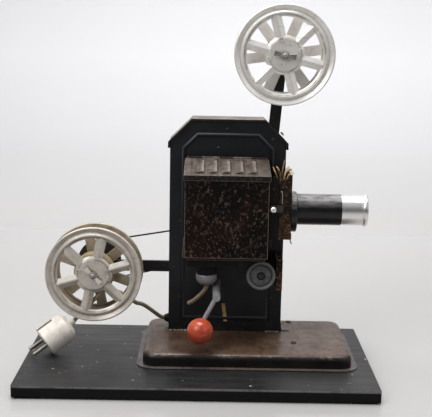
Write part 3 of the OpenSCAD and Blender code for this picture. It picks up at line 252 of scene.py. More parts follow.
def lens_lacquer():
    """Black lacquer with fine rubbed lines along it, and a painted highlight on top that follows the lines.
    """
    p = Paint("lens_black")
    lines = p.noise(260, 4, 0.6, p.stretched((0.25, 1, 1)))
    base = p.mix(p.mask(lines, 0.4, 0.65), tone(9, 9, 10), tone(18, 18, 19))
    # Painted highlight: pale where the barrel faces up, broken by the rubbed lines
    dust_and_highlight = p.times(p.mask(p.facing("Z"), 0.25, 0.8), p.mask(lines, 0.25, 0.6))
    base = p.mix(p.times(dust_and_highlight, 0.85), base, tone(154, 152, 150))
    rim = p.edge_wear_and_highlight(0.5 * MM, p.noise(300, 4), 0.4, 0.6)
    p.set(Base_Color=p.mix(p.times(rim, 0.3), base, tone(96, 94, 92)), Specular_IOR_Level=0.42)
    p.set(Roughness=p.vary(lines, 0.26, 0.36))
    p.set(Normal=p.bump(lines, 0.05, 0.2 * MM, p.rounded(0.5 * MM)))
    return p.material


def column_paint():
    """Blue-black paint, paler where it faces up and more so higher up, as painted highlight with dust, with
    fine scratches and a brown foot.
    """
    p = Paint("column_paint")
    base = p.mix(p.mask(p.noise(22, 5, 0.6), 0.35, 0.7), tone(14, 16, 19), tone(25, 28, 33))
    scratch = p.mask(p.noise(60, 4, 0.6, p.stretched((12, 12, 1))), 0.66, 0.72)
    base = p.mix(p.times(scratch, 0.2), base, tone(64, 67, 72))
    # Painted highlight with dust: faces that look up, such as the bead's upper slopes, turn paler, more so
    # higher up
    height = p.mask(p.along("Z"), 100 * MM, 200 * MM, 0.2, 0.8)
    dust_and_highlight = p.times(p.mask(p.facing("Z"), 0.03, 0.35), height)
    base = p.mix(dust_and_highlight, base, tone(80, 84, 90))
    above_base = p.mask(p.along("Z"), (BASE_TOP + 19) * MM, BASE_TOP * MM)
    foot = p.times(above_base, p.mask(p.noise(160, 5, 0.7), 0.45, 0.65))
    base = p.mix(p.times(foot, 0.5), base, tone(58, 46, 36))
    flecks = p.mask(p.noise(240, 3, 0.6), 0.72, 0.75)
    rim = p.edge_wear_and_highlight(0.5 * MM, p.noise(260, 5, 0.7), 0.42, 0.62)
    bare = p.either(p.times(rim, 0.5), p.times(flecks, 0.3))
    p.set(Base_Color=p.mix(bare, base, tone(128, 118, 106)), Specular_IOR_Level=0.35)
    p.set(Roughness=p.vary(p.noise(70, 4), 0.32, 0.5))
    p.set(Normal=p.bump(p.noise(35, 3), 0.12, 1.5 * MM, p.rounded(0.5 * MM)))
    return p.material


def hood_paint():
    """Black paint, patchy grey-brown where it faces up or to the left, as dust and rubbing with painted
    light from the upper left.
    """
    p = Paint("hood_paint")
    dark = p.mix(p.noise(60, 4), tone(22, 21, 21), tone(36, 33, 31))
    cloud = p.mask(p.noise(35, 6, 0.65, p.stretched((1, 3, 3))), 0.35, 0.65)
    dust_and_highlight = p.mix(cloud, tone(92, 83, 76), tone(137, 127, 118))
    # Painted light from the upper left: faces that look up or left turn patchy grey-brown, with dust and
    # rubbing
    lit = p.math("SUBTRACT", p.facing("Z"), p.times(p.facing("X"), 0.45))
    rub_and_light = p.times(p.mask(lit, 0.25, 0.75), p.mask(p.noise(120, 5, 0.7), 0.2, 0.45))
    rim = p.edge_wear_and_highlight(0.6 * MM, p.noise(200, 5), 0.35, 0.55)
    skin = p.mix(p.either(rub_and_light, p.times(rim, 0.8)), dark, dust_and_highlight)
    brown = p.mask(p.noise(170, 5, 0.7), 0.6, 0.68)
    p.set(Base_Color=p.mix(p.times(brown, 0.5), skin, tone(70, 52, 40)), Specular_IOR_Level=0.3)
    p.set(Roughness=p.vary(p.noise(90, 4), 0.45, 0.65))
    p.set(Normal=p.bump(p.noise(500, 4), 0.12, 0.2 * MM, p.rounded(0.6 * MM)))
    return p.material


def lamp_skin(p):
    """Colour of the lamp house's paint: brown-black, freckled with rust that thickens downwards."""
    low = p.mask(p.along("Z"), 225 * MM, 145 * MM)
    base = p.mix(p.mask(p.noise(34, 4, 0.6), 0.46, 0.62), tone(7, 6, 6), tone(27, 15, 12))
    freckle = p.math("ADD", p.noise(310, 3, 0.6, p.stretched((1, 1, 0.75))), p.times(low, 0.02))
    patch = p.mask(p.noise(55, 4, 0.6), 0.42, 0.6)
    spots = p.times(p.mask(freckle, 0.545, 0.62), p.math("ADD", p.times(patch, 0.8), 0.2))
    rust_tone = p.mix(p.noise(140, 3), tone(66, 42, 33), tone(116, 98, 82))
    skin = p.mix(p.times(spots, 0.8), base, rust_tone)
    tan = p.times(p.mask(p.noise(380, 2, 0.5), 0.66, 0.7), p.math("ADD", p.times(low, 0.5), 0.4))
    return p.mix(p.times(tan, 0.8), skin, tone(146, 128, 110))


def rusty_lamp_paint():
    """The lamp house's freckled paint, rubbed pale along its edges."""
    p = Paint("lamp_paint")
    rim = p.edge_wear_and_highlight(1.5 * MM, p.noise(160, 4), 0.2, 0.45)
    p.set(Base_Color=p.mix(p.times(rim, 0.95), lamp_skin(p), tone(164, 146, 130)), Specular_IOR_Level=0.12)
    p.set(Roughness=p.vary(p.noise(140, 4), 0.42, 0.65))
    p.set(Normal=p.bump(p.noise(600, 5), 0.18, 0.3 * MM, p.rounded(0.6 * MM)))
    return p.material


def faded_roof_with_painted_light():
    """Grey-brown and streaked on top, with painted highlights on the louvre lips and a painted shadow at the
    low end of each louvre; the skirt is as dark as the lamp house, painted shade.
    """
    p = Paint("roof_paint")
    streak = p.noise(60, 5, 0.6, p.stretched((3, 0.6, 1)))
    top = p.mix(p.mask(streak, 0.35, 0.65), tone(72, 63, 56), tone(106, 95, 87))
    stain = p.mask(p.noise(120, 5, 0.65), 0.48, 0.62)
    top = p.mix(p.times(stain, 0.75), top, tone(52, 45, 38))
    height = p.math("SUBTRACT", p.along("Z"), p.times(p.along("Y"), ROOF_SLOPE))
    above = p.mask(height, (ROOF_LEVEL + 0.6) * MM, (ROOF_LEVEL + 1.4) * MM)
    low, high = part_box("lamp_lid")
    step = (high[0] - low[0]) / (LOUVRES + ROOF_MARGIN)
    place = p.times(p.math("SUBTRACT", p.along("X"), low[0] + step / 2), 1 / step)
    share = p.math("FRACT", place, 0)
    # Painted shadow: darker at the low end of each louvre
    top = p.mix(p.times(p.mask(share, 0.2, 0.02), 0.6), top, tone(34, 29, 25))
    # Painted shade: faces that neither look up nor lie above the roof plane get the lamp house's dark paint
    skin = p.mix(p.either(above, p.mask(p.facing("Z"), 0.35, 0.75)), lamp_skin(p), top)
    # Painted highlight on the louvre lips
    lip_highlight = p.times(p.times(above, p.mask(share, 0.7, 0.95)), p.mask(p.noise(150, 4), 0.3, 0.65, 0.15, 0.75))
    # Pale edges: rubbed, and a painted highlight along them
    rim = p.edge_wear_and_highlight(1.2 * MM, p.noise(200, 3), 0.2, 0.45)
    p.set(Base_Color=p.mix(p.times(p.either(lip_highlight, p.times(rim, 0.85)), 0.85), skin, tone(170, 156, 144)))
    p.set(Roughness=p.vary(streak, 0.42, 0.62), Specular_IOR_Level=0.3)
    p.set(Normal=p.bump(p.noise(500, 5), 0.2, 0.3 * MM, p.rounded(0.6 * MM)))
    return p.material


def rusty_base_paint():
    """Brown paint with rusty freckles on top, nearly black on the walls as painted shade, with a painted
    highlight where its rounded edge slopes, patchy like rubbing.
    """
    p = Paint("base_paint")
    top = p.mask(p.facing("Z"), 0.55, 0.95)
    face = p.mix(p.mask(p.noise(20, 5, 0.6), 0.35, 0.65), tone(66, 48, 38), tone(98, 76, 60))
    flange = p.mask(p.along("Z"), 24 * MM, 19 * MM)
    face = p.mix(p.times(flange, 0.8), face, tone(82, 78, 76))
    # Painted shade: the walls, which face sideways, are nearly black while the top keeps the brown
    wall = p.mix(p.mask(p.noise(40, 5), 0.4, 0.65), tone(9, 8, 8), tone(20, 16, 15))
    skin = p.mix(top, wall, face)
    freckles = p.mask(p.noise(170, 4, 0.65), 0.54, 0.62)
    skin = p.mix(p.times(freckles, 0.7), skin, tone(34, 23, 18))
    pale = p.times(p.mask(p.noise(230, 5, 0.7), 0.6, 0.68), p.mask(p.noise(25, 3), 0.4, 0.6))
    skin = p.mix(p.times(p.times(pale, top), 0.5), skin, tone(142, 120, 100))
    # Painted highlight on the rounded edge's slope, patchy like rubbing
    slope = p.times(p.mask(p.facing("Z"), 0.25, 0.6), p.mask(p.facing("Z"), 0.98, 0.8))
    rubbed_edge_highlight = p.times(slope, p.mask(p.noise(90, 5, 0.7), 0.5, 0.66))
    p.set(Base_Color=p.mix(p.times(rubbed_edge_highlight, 0.55), skin, tone(138, 126, 118)))
    p.set(Roughness=p.vary(p.noise(60, 4), 0.3, 0.5), Specular_IOR_Level=0.4)
    p.set(Normal=p.bump(p.noise(420, 6), 0.18, 0.3 * MM))
    return p.material


def rust(name, dark, light, flakes, brown_below):
    """Rusty sheet, black with old paint above and browner below a height in metres, with pale spots."""
    p = Paint(name)
    skin = p.mix(p.mask(p.noise(130, 6, 0.7), 0.4, 0.62), dark, light)
    low = p.mask(p.along("Z"), brown_below + 15 * MM, brown_below - 15 * MM)
    old_paint = p.mask(p.math("SUBTRACT", p.noise(85, 5, 0.65), p.times(low, 0.14)), 0.44, 0.52)
    skin = p.mix(p.times(old_paint, 0.9), skin, tone(17, 14, 13))
    skin = p.mix(p.times(p.mask(p.noise(360, 4, 0.6), 0.6, 0.66), 0.75), skin, flakes)
    # Painted shade: near black in corners and grooves
    skin = p.mix(p.times(p.crevice(4 * MM), 0.5), skin, tone(12, 10, 9))
    rim = p.edge_wear_and_highlight(0.5 * MM, p.noise(200, 3), 0.35, 0.6)
    p.set(Base_Color=p.mix(p.times(rim, 0.7), skin, flakes), Roughness=0.7, Specular_IOR_Level=0.2)
    p.set(Normal=p.bump(p.noise(500, 6, 0.7), 0.5, 0.5 * MM))
    return p.material


def board_wood():
    """Black-stained board: fine grain, dust and scratches, and an edge rubbed pale with a painted highlight
    along it.
    """
    p = Paint("board_wood")
    grain = p.noise(9, 8, 0.6, p.stretched((1, 14, 14)))
    base = p.mix(p.mask(grain, 0.35, 0.7), tone(14, 14, 15), tone(25, 24, 25))
    upper = p.mask(p.facing("Z"), 0.5, 0.9)
    dust_and_highlight = p.times(upper, p.mask(p.noise(14, 6, 0.65), 0.35, 0.7))
    base = p.mix(p.times(dust_and_highlight, 0.34), base, tone(70, 68, 68))
    scratch = p.times(upper, p.mask(p.noise(40, 3, 0.5, p.stretched((1, 30, 30))), 0.68, 0.72))
    base = p.mix(p.times(scratch, 0.3), base, tone(104, 100, 96))
    crumbs = p.times(upper, p.mask(p.noise(170, 2, 0.5), 0.735, 0.75))
    base = p.mix(p.times(crumbs, 0.8), base, tone(176, 172, 166))
    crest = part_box("board")[1][2]
    # Painted highlight with rubbing: a pale band just under the top edge of the sides
    edge = p.times(p.mask(p.along("Z"), crest - 2.8 * MM, crest - 1.6 * MM), p.mask(p.facing("Z"), 0.9, 0.6))
    rubbed_edge_highlight = p.times(edge, p.mask(p.noise(45, 5, 0.7), 0.25, 0.5))
    p.set(Base_Color=p.mix(p.times(rubbed_edge_highlight, 0.8), base, tone(146, 141, 142)))
    p.set(Specular_IOR_Level=p.mask(upper, 0, 1, 0.12, 0.36))
    p.set(Roughness=p.vary(grain, 0.36, 0.52))
    p.set(Normal=p.bump(grain, 0.12, 0.3 * MM, p.rounded(0.8 * MM)))
    return p.material


def metal(name, colour, dirt, rough=0.35, dirty=0.5, shine=0.85, grain=0.06, edge=0.3 * MM):
    """Dull or dirty metal, with darker grime in broad patches and fine spots, and painted shade in its
    corners.
    """
    p = Paint(name)
    cloud = p.mask(p.noise(55, 6, 0.6), 0.4, 0.72)
    spots = p.mask(p.noise(380, 4, 0.6), 0.6, 0.7)
    # Grime in patches and spots, with painted shade in corners and grooves
    grime_and_shade = p.times(p.either(p.either(cloud, spots), p.crevice(2 * MM)), dirty)
    fine = p.noise(700, 4, 0.6)
    p.set(Base_Color=p.mix(grime_and_shade, colour, dirt), Metallic=shine)
    fine_rough = p.vary(fine, rough - 0.8 * grain, rough + 1.3 * grain)
    p.set(Roughness=p.math("ADD", fine_rough, p.times(grime_and_shade, 0.2)))
    p.set(Normal=p.bump(fine, grain, 0.2 * MM, p.rounded(edge)))
    return p.material


def reel_metal(name, axis, colour, dirt, groove, dirty):
    """Pressed aluminium: painted highlights on its raised edges, brown dirt and painted shade in its grooves
    and round its hub and rim.
    """
    p = Paint(name)
    cloud = p.mask(p.noise(42, 6, 0.62), 0.42, 0.7)
    spots = p.mask(p.noise(300, 4, 0.65), 0.6, 0.68)
    skin = p.mix(p.times(p.either(cloud, spots), dirty), colour, dirt)
    # Dirt and painted shade in grooves and corners, with spots and smears of dirt
    hollow = p.times(p.crevice(5 * MM), p.mask(p.noise(90, 4), 0.1, 0.45))
    hollow = p.either(hollow, p.times(p.mask(p.noise(240, 4, 0.7), 0.62, 0.7), 0.5))
    smear = p.noise(70, 5, 0.7, p.stretched((1, 0.3, 2.2)))
    hollow = p.either(hollow, p.times(p.mask(smear, 0.56, 0.68), 0.4))
    # Dark rings at the hub and inside the rim: dirt and painted shadow lines
    r = p.from_axis(*axis)
    patchy = p.mask(p.noise(60, 4, 0.65), 0.35, 0.6, 0.15, 0.75)
    for middle in REEL_DIRT_AND_SHADOW_R:
        off = p.math("ABSOLUTE", p.math("SUBTRACT", r, middle * MM), 0)
        hollow = p.either(hollow, p.times(p.mask(off, 1.6 * MM, 0.4 * MM), patchy))
    skin = p.mix(p.times(hollow, 0.85), skin, groove)
    # Painted highlight on the raised edges, in patches
    rim = p.edge_wear_and_highlight(0.8 * MM, p.noise(120, 3), 0.25, 0.5)
    p.set(Base_Color=p.mix(p.times(rim, 0.6), skin, tone(252, 250, 246)), Metallic=0.4)
    p.set(Roughness=p.math("ADD", p.vary(p.noise(500, 4), 0.3, 0.42), p.times(hollow, 0.25)))
    p.set(Normal=p.bump(p.noise(160, 5), 0.1, 0.4 * MM, p.rounded(0.5 * MM)))
    return p.material


def sprocket_metal():
    """Dull grey disc with a paler rim, a dark groove and a rusty middle."""
    p = Paint("sprocket_metal")
    r = p.from_axis(*SPROCKET_AXIS)
    skin = p.mix(p.mask(p.noise(260, 5, 0.65), 0.35, 0.65), tone(70, 70, 71), tone(110, 110, 110))
    rim = p.mask(r, DISC_RIM_R * MM, (DISC_RIM_R + 1) * MM)
    skin = p.mix(p.times(rim, 0.7), skin, tone(128, 128, 127))
    outer = p.mask(r, DISC_GROOVE_R * MM, (DISC_GROOVE_R + 1) * MM)
    groove = p.times(outer, p.mask(r, (DISC_RIM_R + 0.8) * MM, DISC_RIM_R * MM))
    skin = p.mix(p.times(groove, 0.75), skin, tone(26, 25, 24))
    skin = p.mix(p.mask(r, DISC_BOSS_R * MM, (DISC_BOSS_R - 0.8) * MM), skin, tone(20, 18, 17))
    skin = p.mix(p.mask(r, DISC_SCREW_R * MM, (DISC_SCREW_R - 0.6) * MM), skin, tone(136, 112, 92))
    p.set(Base_Color=skin, Metallic=0.3, Roughness=p.vary(p.noise(300, 4), 0.4, 0.55))
    p.set(Normal=p.bump(p.noise(400, 4), 0.12, 0.2 * MM, p.rounded(0.4 * MM)))
    return p.material


def keeper_metal(name, axis):
    """Polished cross bar with rust round its screw."""
    p = Paint(name)
    near = p.mask(p.from_axis(*axis), 5.5 * MM, 2.8 * MM)
    rusty = p.either(near, p.times(p.mask(p.noise(420, 4, 0.65), 0.58, 0.66), 0.6))
    brown = p.mix(p.noise(500, 4), tone(84, 48, 27), tone(140, 92, 56))
    p.set(Base_Color=p.mix(p.times(rusty, 0.9), tone(232, 226, 216), brown))
    p.set(Metallic=p.mask(rusty, 0, 1, 0.95, 0.2), Roughness=p.mask(rusty, 0, 1, 0.16, 0.7))
    p.set(Normal=p.bump(p.noise(800, 4), 0.15, 0.2 * MM, p.rounded(0.5 * MM)))
    return p.material


def moulded(name, colour, stain, rough=0.3, staining=0.4, shine=0.5):
    """Moulded plastic with handling marks and painted shade in its corners."""
    p = Paint(name)
    marks_and_shade = p.times(p.mask(p.noise(150, 5, 0.7), 0.5, 0.7), staining)
    # Painted shade in corners, added to the handling marks
    marks_and_shade = p.either(marks_and_shade, p.times(p.crevice(2 * MM), 0.6))
    p.set(Base_Color=p.mix(marks_and_shade, colour, stain), Specular_IOR_Level=shine)
    p.set(Roughness=p.vary(p.noise(220, 4), rough - 0.06, rough + 0.12))
    p.set(Normal=p.bump(p.noise(900, 3), 0.05, 0.2 * MM, p.rounded(0.5 * MM)))
    return p.material


def knob_paint():
    """Orange-red lacquer with brown nicks and paler rubbed spots."""
    p = Paint("red_knob")
    base = p.mix(p.mask(p.noise(60, 4), 0.35, 0.7), tone(176, 54, 28), tone(198, 86, 50))
    nick = p.mask(p.noise(300, 4, 0.65), 0.6, 0.65)
    base = p.mix(p.times(nick, 0.75), base, tone(88, 42, 28))
    pale = p.mask(p.noise(380, 3, 0.6), 0.68, 0.72)
    p.set(Base_Color=p.mix(p.times(pale, 0.6), base, tone(214, 138, 104)), Coat_Weight=0.3)
    p.set(Roughness=p.vary(p.noise(120, 4), 0.24, 0.42))
    p.set(Normal=p.bump(p.noise(300, 4), 0.12, 0.3 * MM))
    return p.material


def clear_glass():
    """Glass with a little dust."""
    p = Paint("clear_glass")
    dust_and_highlight = p.mask(p.noise(90, 5), 0.45, 0.75, 0.02, 0.16)
    return p.set(Base_Color=tone(236, 242, 244), Roughness=dust_and_highlight, Transmission_Weight=0.95, IOR=1.5).material


def cord_cloth():
    """Braided sleeve: two crossing bands round the lead, read from its own length and turn."""
    p = Paint("cord_cloth")
    place = p.node("ShaderNodeSeparateXYZ", {0: p.node("ShaderNodeUVMap").outputs["UV"]})
    bands = []
    for side in (1, -1):
        slope = p.math("ADD", p.times(place.outputs["X"], 900), p.times(place.outputs["Y"], 6 * side))
        bands.append(p.math("SINE", p.times(slope, math.tau), 0))
    weave = p.either(bands[0], bands[1])
    dirt = p.mask(p.noise(110, 5, 0.6), 0.42, 0.7)
    base = p.mix(p.mask(weave, -0.6, 1), tone(116, 98, 70), tone(184, 166, 132))
    p.set(Base_Color=p.mix(p.times(dirt, 0.45), base, tone(92, 78, 58)), Roughness=0.85, Sheen_Weight=0.3)
    p.set(Normal=p.bump(weave, 0.4, 0.3 * MM))
    return p.material


def felt():
    """Black felt."""
    p = Paint("felt")
    p.set(Base_Color=p.mix(p.noise(900, 4), tone(18, 18, 18), tone(32, 31, 30)), Roughness=0.95)
    return p.set(Normal=p.bump(p.noise(1200, 4), 0.5, 0.4 * MM)).material


def make_finishes():
    """One material for each finish, by name."""
    return {
        "wood": board_wood(),
        "felt": felt(),
        "base": rusty_base_paint(),
        "column": column_paint(),
        "hood": hood_paint(),
        "lamp": rusty_lamp_paint(),
        "roof": faded_roof_with_painted_light(),
        "lens": lens_lacquer(),
        "black": enamel("arm_paint", tone(12, 12, 13), tone(22, 22, 23), tone(92, 80, 70), wear=0.45),
        "gate": enamel("gate_paint", tone(11, 10, 10), tone(22, 18, 16), tone(112, 86, 62), wear=0.7,
                       rough=0.5, chips=0.64, shine=0.2),
        "zinc": metal("zinc", tone(180, 182, 186), tone(100, 98, 96), rough=0.4, shine=0.5),
        "grey": metal("dull_zinc", tone(92, 94, 98), tone(40, 40, 42), rough=0.5, dirty=0.65, shine=0.4),
        "sprocket": sprocket_metal(),
        "cup": metal("socket_zinc", tone(152, 149, 152), tone(104, 90, 82), rough=0.45, shine=0.3),
        "steel": metal("dark_steel", tone(78, 72, 66), tone(38, 31, 27), rough=0.45, dirty=0.7),
        "bright": metal("chrome", tone(240, 239, 237), tone(176, 170, 164), rough=0.24, dirty=0.12,
                        shine=0.95, grain=0.01),
        "pins": metal("pin_steel", tone(158, 150, 138), tone(96, 84, 70), rough=0.3, dirty=0.5),
        "brass": metal("brass", tone(190, 158, 92), tone(110, 84, 48), rough=0.35),
        "reel": reel_metal("reel_aluminium", SUPPLY_AXIS, tone(252, 249, 244), tone(216, 207, 196),
                           tone(92, 76, 58), 0.45),
        "dirty_reel": reel_metal("reel_dirty", TAKEUP_AXIS, tone(220, 212, 201), tone(162, 149, 132),
                                 tone(72, 58, 43), 0.5),
        # Tarnish and painted shade: the rear flange and the drums between the flanges darker and browner
        "tarnished_shaded_reel": reel_metal("reel_tarnish_and_shade", TAKEUP_AXIS, tone(190, 176, 154), tone(124, 104, 79),
                                tone(52, 38, 26), 0.75),
        "upper_keeper": keeper_metal("upper_keeper", SUPPLY_AXIS),
        "lower_keeper": keeper_metal("lower_keeper", TAKEUP_AXIS),
        "glass": clear_glass(),
        "rubber": moulded("rubber", tone(30, 29, 28), tone(56, 53, 48), rough=0.6, staining=0.5, shine=0.2),
        "plastic": moulded("black_plastic", tone(12, 12, 12), tone(28, 26, 25), rough=0.5, shine=0.2),
        "cream": moulded("cream_plastic", tone(240, 232, 221), tone(150, 134, 112), staining=0.35),
        "fibre": moulded("fibre", tone(178, 146, 104), tone(98, 72, 48), rough=0.6, staining=0.7, shine=0.2),
        "leader": moulded("leader", tone(206, 190, 164), tone(136, 104, 72), rough=0.4, staining=0.7),
        "rust": rust("gate_rust", tone(40, 27, 20), tone(88, 58, 38), tone(146, 116, 84), 175 * MM),
        "shoe": rust("shoe_rust", tone(34, 23, 17), tone(84, 55, 34), tone(160, 122, 82), 105 * MM),
        "solder": metal("solder", tone(140, 130, 114), tone(62, 50, 38), rough=0.4, dirty=0.65, shine=0.7),
        "knob": knob_paint(),
        "cloth": cord_cloth(),
    }


# Which solids have which finish
NODE_FINISHES = {
    "wood": ["board"],
    "felt": ["board_feet"],
    "base": ["tin_base"],
    "column": ["housing_shell", "front_panel"],
    "hood": ["hood"],
    "lamp": ["lamp_house"],
    "roof": ["lamp_lid"],
    "black": ["upper_arm", "lower_arm"],
    "gate": ["gate_frame"],
    "lens": ["lens_collar", "lens_barrel"],
    "zinc": ["pillars", "supply_spindle", "takeup_spindle", "crank_shaft", "crank_arm", "star_driver"],
    "grey": ["hinge_pins"],
    "sprocket": ["film_sprocket"],
    "cup": ["lamp_socket"],
    "steel": ["base_screws", "bearing_plate", "frame_screws", "gate_latch", "presser_arm", "star_wheel",
              "takeup_pulley", "drive_pulley"],
    "bright": ["lens_ring", "latch_knob"],
    "pins": ["plug_pins"],
    "brass": ["bearing_bushes", "bulb_cap", "crank_gear", "belt_gear"],
    "reel": ["supply_front_flange", "supply_rear_flange"],
    "dirty_reel": ["takeup_front_flange"],
    "tarnished_shaded_reel": ["supply_core", "takeup_core", "takeup_rear_flange"],
    "upper_keeper": ["supply_keeper"],
    "lower_keeper": ["takeup_keeper"],
    "glass": ["lamp_bulb", "condenser_lens", "lens_glasses"],
    "rubber": ["drive_belt", "cord_grommet"],
    "plastic": ["lamp_holder"],
    "cream": ["plug_body"],
    "fibre": ["film_track"],
    "rust": ["gate_door"],
    "shoe": ["film_shoe"],
    "knob": ["crank_knob"],
}


def paint_nodes():
    """Gives every solid its finish."""
    for finish, names in NODE_FINISHES.items():
        for name in names:
            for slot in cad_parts[name].material_slots:
                slot.material = FINISHES[finish]


def box_mm(name):
    """Low and high corners of a solid, in millimetres."""
    return [Vector(corner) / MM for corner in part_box(name)]


def add_object(name, mesh, material):
    """Turns a built mesh into an object with one material."""
    data = bpy.data.meshes.new(name)
    bmesh.ops.recalc_face_normals(mesh, faces=mesh.faces)
    mesh.to_mesh(data)
    mesh.free()
    data.materials.append(material)
    made = bpy.data.objects.new(name, data)
    bpy.context.collection.objects.link(made)
    return made


def finished(name, mesh, finish, body):
    """Adds a built mesh as a piece that has a finish and rides on a body."""
    made = add_object(name, mesh, FINISHES[finish])
    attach(made, body)
    return made


def smooth_path(points, step):
    """Points about step apart on one smooth curve through the given ones."""
    knots = [Vector(p) for p in points]
    knots = [2 * knots[0] - knots[1]] + knots + [2 * knots[-1] - knots[-2]]
    path = [knots[1]]
    for a, b, c, d in zip(knots, knots[1:], knots[2:], knots[3:]):
        parts = max(1, round((c - b).length / step))
        for i in range(1, parts + 1):
            t = i / parts
            path.append(0.5 * (2 * b + (c - a) * t + (2 * a - 5 * b + 4 * c - d) * t * t
                               + (3 * b - a - 3 * c + d) * t * t * t))
    return path


def ahead_at(path, i):
    """Direction of a path at its point i."""
    return (path[min(i + 1, len(path) - 1)] - path[max(i - 1, 0)]).normalized()


def skin_rings(mesh, rings):
    """Faces between neighbouring rings of points, and a cap on each end."""
    count = len(rings[0])
    faces = []
    for low, high in zip(rings, rings[1:]):
        for k in range(count):
            n = (k + 1) % count
            faces.append(mesh.faces.new((low[k], low[n], high[n], high[k])))
            faces[-1].smooth = True
    mesh.faces.new(list(reversed(rings[0])))
    mesh.faces.new(rings[-1])
    return faces


def tube(name, points, step, radius, finish, body="projector", sides=16):
    """Round tube along a smooth route in millimetres, with its length and turn as texture places."""
    path = [p * MM for p in smooth_path(points, step)]
    mesh = bmesh.new()
    uv = mesh.loops.layers.uv.new("UVMap")
    lengths = [0.0]
    for a, b in zip(path, path[1:]):
        lengths.append(lengths[-1] + (b - a).length)
    turns = [math.tau * k / sides for k in range(sides)]
    side = (path[1] - path[0]).orthogonal().normalized()
    rings = []
    for i, point in enumerate(path):
        ahead = ahead_at(path, i)
        side = (side - side.dot(ahead) * ahead).normalized()
        over = ahead.cross(side)
        offsets = [radius * MM * (math.cos(a) * side + math.sin(a) * over) for a in turns]
        rings.append([mesh.verts.new(point + offset) for offset in offsets])
    for number, face in enumerate(skin_rings(mesh, rings)):
        i, k = divmod(number, sides)
        corners = ((i, k), (i, k + 1), (i + 1, k + 1), (i + 1, k))
        for loop, (ring, turn) in zip(face.loops, corners):
            loop[uv].uv = (lengths[ring], turn / sides)
    return finished(name, mesh, finish, body), path


# Outline of a thin sheet, as shares of its width and of half its thickness
SHEET_OUTLINE = [(-0.5, 0.4), (-0.47, 1), (0.47, 1), (0.5, 0.4),
                 (0.5, -0.4), (0.47, -1), (-0.47, -1), (-0.5, -0.4)]


def bent_sheet(name, points, across, thick, finish, body="projector"):
    """Thin sheet along a smooth route, across wide and with softened long edges, all in millimetres."""
    path = smooth_path(points, 1.5)
    wide = Vector(across)
    mesh = bmesh.new()
    rings = []
    for i, point in enumerate(path):
        out = ahead_at(path, i).cross(wide).normalized() * thick / 2
        rings.append([mesh.verts.new((point + s * wide + t * out) * MM) for s, t in SHEET_OUTLINE])
    for face in skin_rings(mesh, rings):
        face.smooth = False
    return finished(name, mesh, finish, body)


def heads(name, places, out, r, h, finish, body="projector", cut=0.0):
    """Round screw or rivet heads in one piece, with a slot of width cut across them, in millimetres."""
    mesh = bmesh.new()
    turn = Vector(out).to_track_quat("Z", "Y").to_matrix()
    arc = [math.radians(10 * i) for i in range(9)]
    profile = [(r, -0.4)] + [(r * math.cos(a), h * math.sin(a)) for a in arc] + [(0.1 * r, h)]
    sides = 24
    for at in places:
        rings = []
        for ring_r, level in profile:
            ring = []
            for k in range(sides):
                x = ring_r * math.cos(math.tau * k / sides)
                y = ring_r * math.sin(math.tau * k / sides)
                sunk = 0.5 * h if abs(y) < cut / 2 and level > 0.5 * h else 0.0
                ring.append(mesh.verts.new((Vector(at) + turn @ Vector((x, y, level - sunk))) * MM))
            rings.append(ring)
        skin_rings(mesh, rings)
    return finished(name, mesh, finish, body)


def lumps(name, places, size, finish, body="projector"):
    """Rough drops of metal in one piece, each of about the given half sizes in millimetres."""
    mesh = bmesh.new()
    for number, at in enumerate(places):
        for vert in bmesh.ops.create_icosphere(mesh, subdivisions=3, radius=1.0)["verts"]:
            swell = 1 + 0.55 * noise.noise(vert.co * 1.7 + Vector((7.3 * number, 0, 0)))
            sized = Vector([a * b * swell for a, b in zip(vert.co, size)])
            vert.co = (Vector(at) + sized) * MM
    for face in mesh.faces:
        face.smooth = True
    return finished(name, mesh, finish, body)


def winding_point(i):
    """Point i of the lead's turns on the lower reel's drum."""
    turn = math.radians(WINDING_FROM - WINDING_TURN * i / WINDING_STEPS)
    wide = WINDING_PITCH * WINDING_TURN / 360
    y = FILM_Y + wide / 2 - wide * i / WINDING_STEPS
    x, z = TAKEUP_AXIS
    return (x + WINDING_R * math.cos(turn), y, z + WINDING_R * math.sin(turn))


def on_plug(x, y, z):
    """Place on the plug, z running from its face to the lead, in millimetres."""
    lean = Matrix.Rotation(math.radians(90 - PLUG_TILT), 3, "Y")
    turn = Matrix.Rotation(math.radians(PLUG_YAW), 3, "Z")
    return Vector(PLUG_FACE) + turn @ lean @ Vector((x, y, z))


def add_plug_details():
    """Earth springs in the plug's side grooves, and a screw in its face."""
    reach = PLUG_R - 2.2
    across = on_plug(0, 4.4, 0) - on_plug(0, 0, 0)
    made = []
    for name, side in (("low", 1), ("high", -1)):
        bend = [(reach - 1, 1), (reach + 1, 4), (reach + 1.2, 12), (reach - 0.5, 20)]
        points = [on_plug(side * x, 0, z) for x, z in bend]
        made.append(bent_sheet("earth_spring_" + name, points, across, 0.6, "pins"))
    out = on_plug(0, 0, -1) - on_plug(0, 0, 0)
    made.append(heads("plug_screw", [on_plug(0, 0, 0)], out, 3, 1.2, "pins", cut=0.8))
    return made


def add_leads():
    """The mains lead in one piece from the grommet to the plug, and the lamp's short lead."""
    route = [CORD_EXIT] + CORD_STRETCH + [winding_point(i) for i in range(WINDING_STEPS + 1)] + CORD_TAIL
    cord, path = tube("mains_lead", route, 3, CORD_R, "cloth")
    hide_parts("cord_stretch", "cord_winding", "cord_tail")
    plug = [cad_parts["plug_body"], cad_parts["plug_pins"]] + add_plug_details()
    lead, path = tube("lamp_flex", LAMP_LEAD, 2, CORD_R, "cloth")
    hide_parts("lamp_lead")


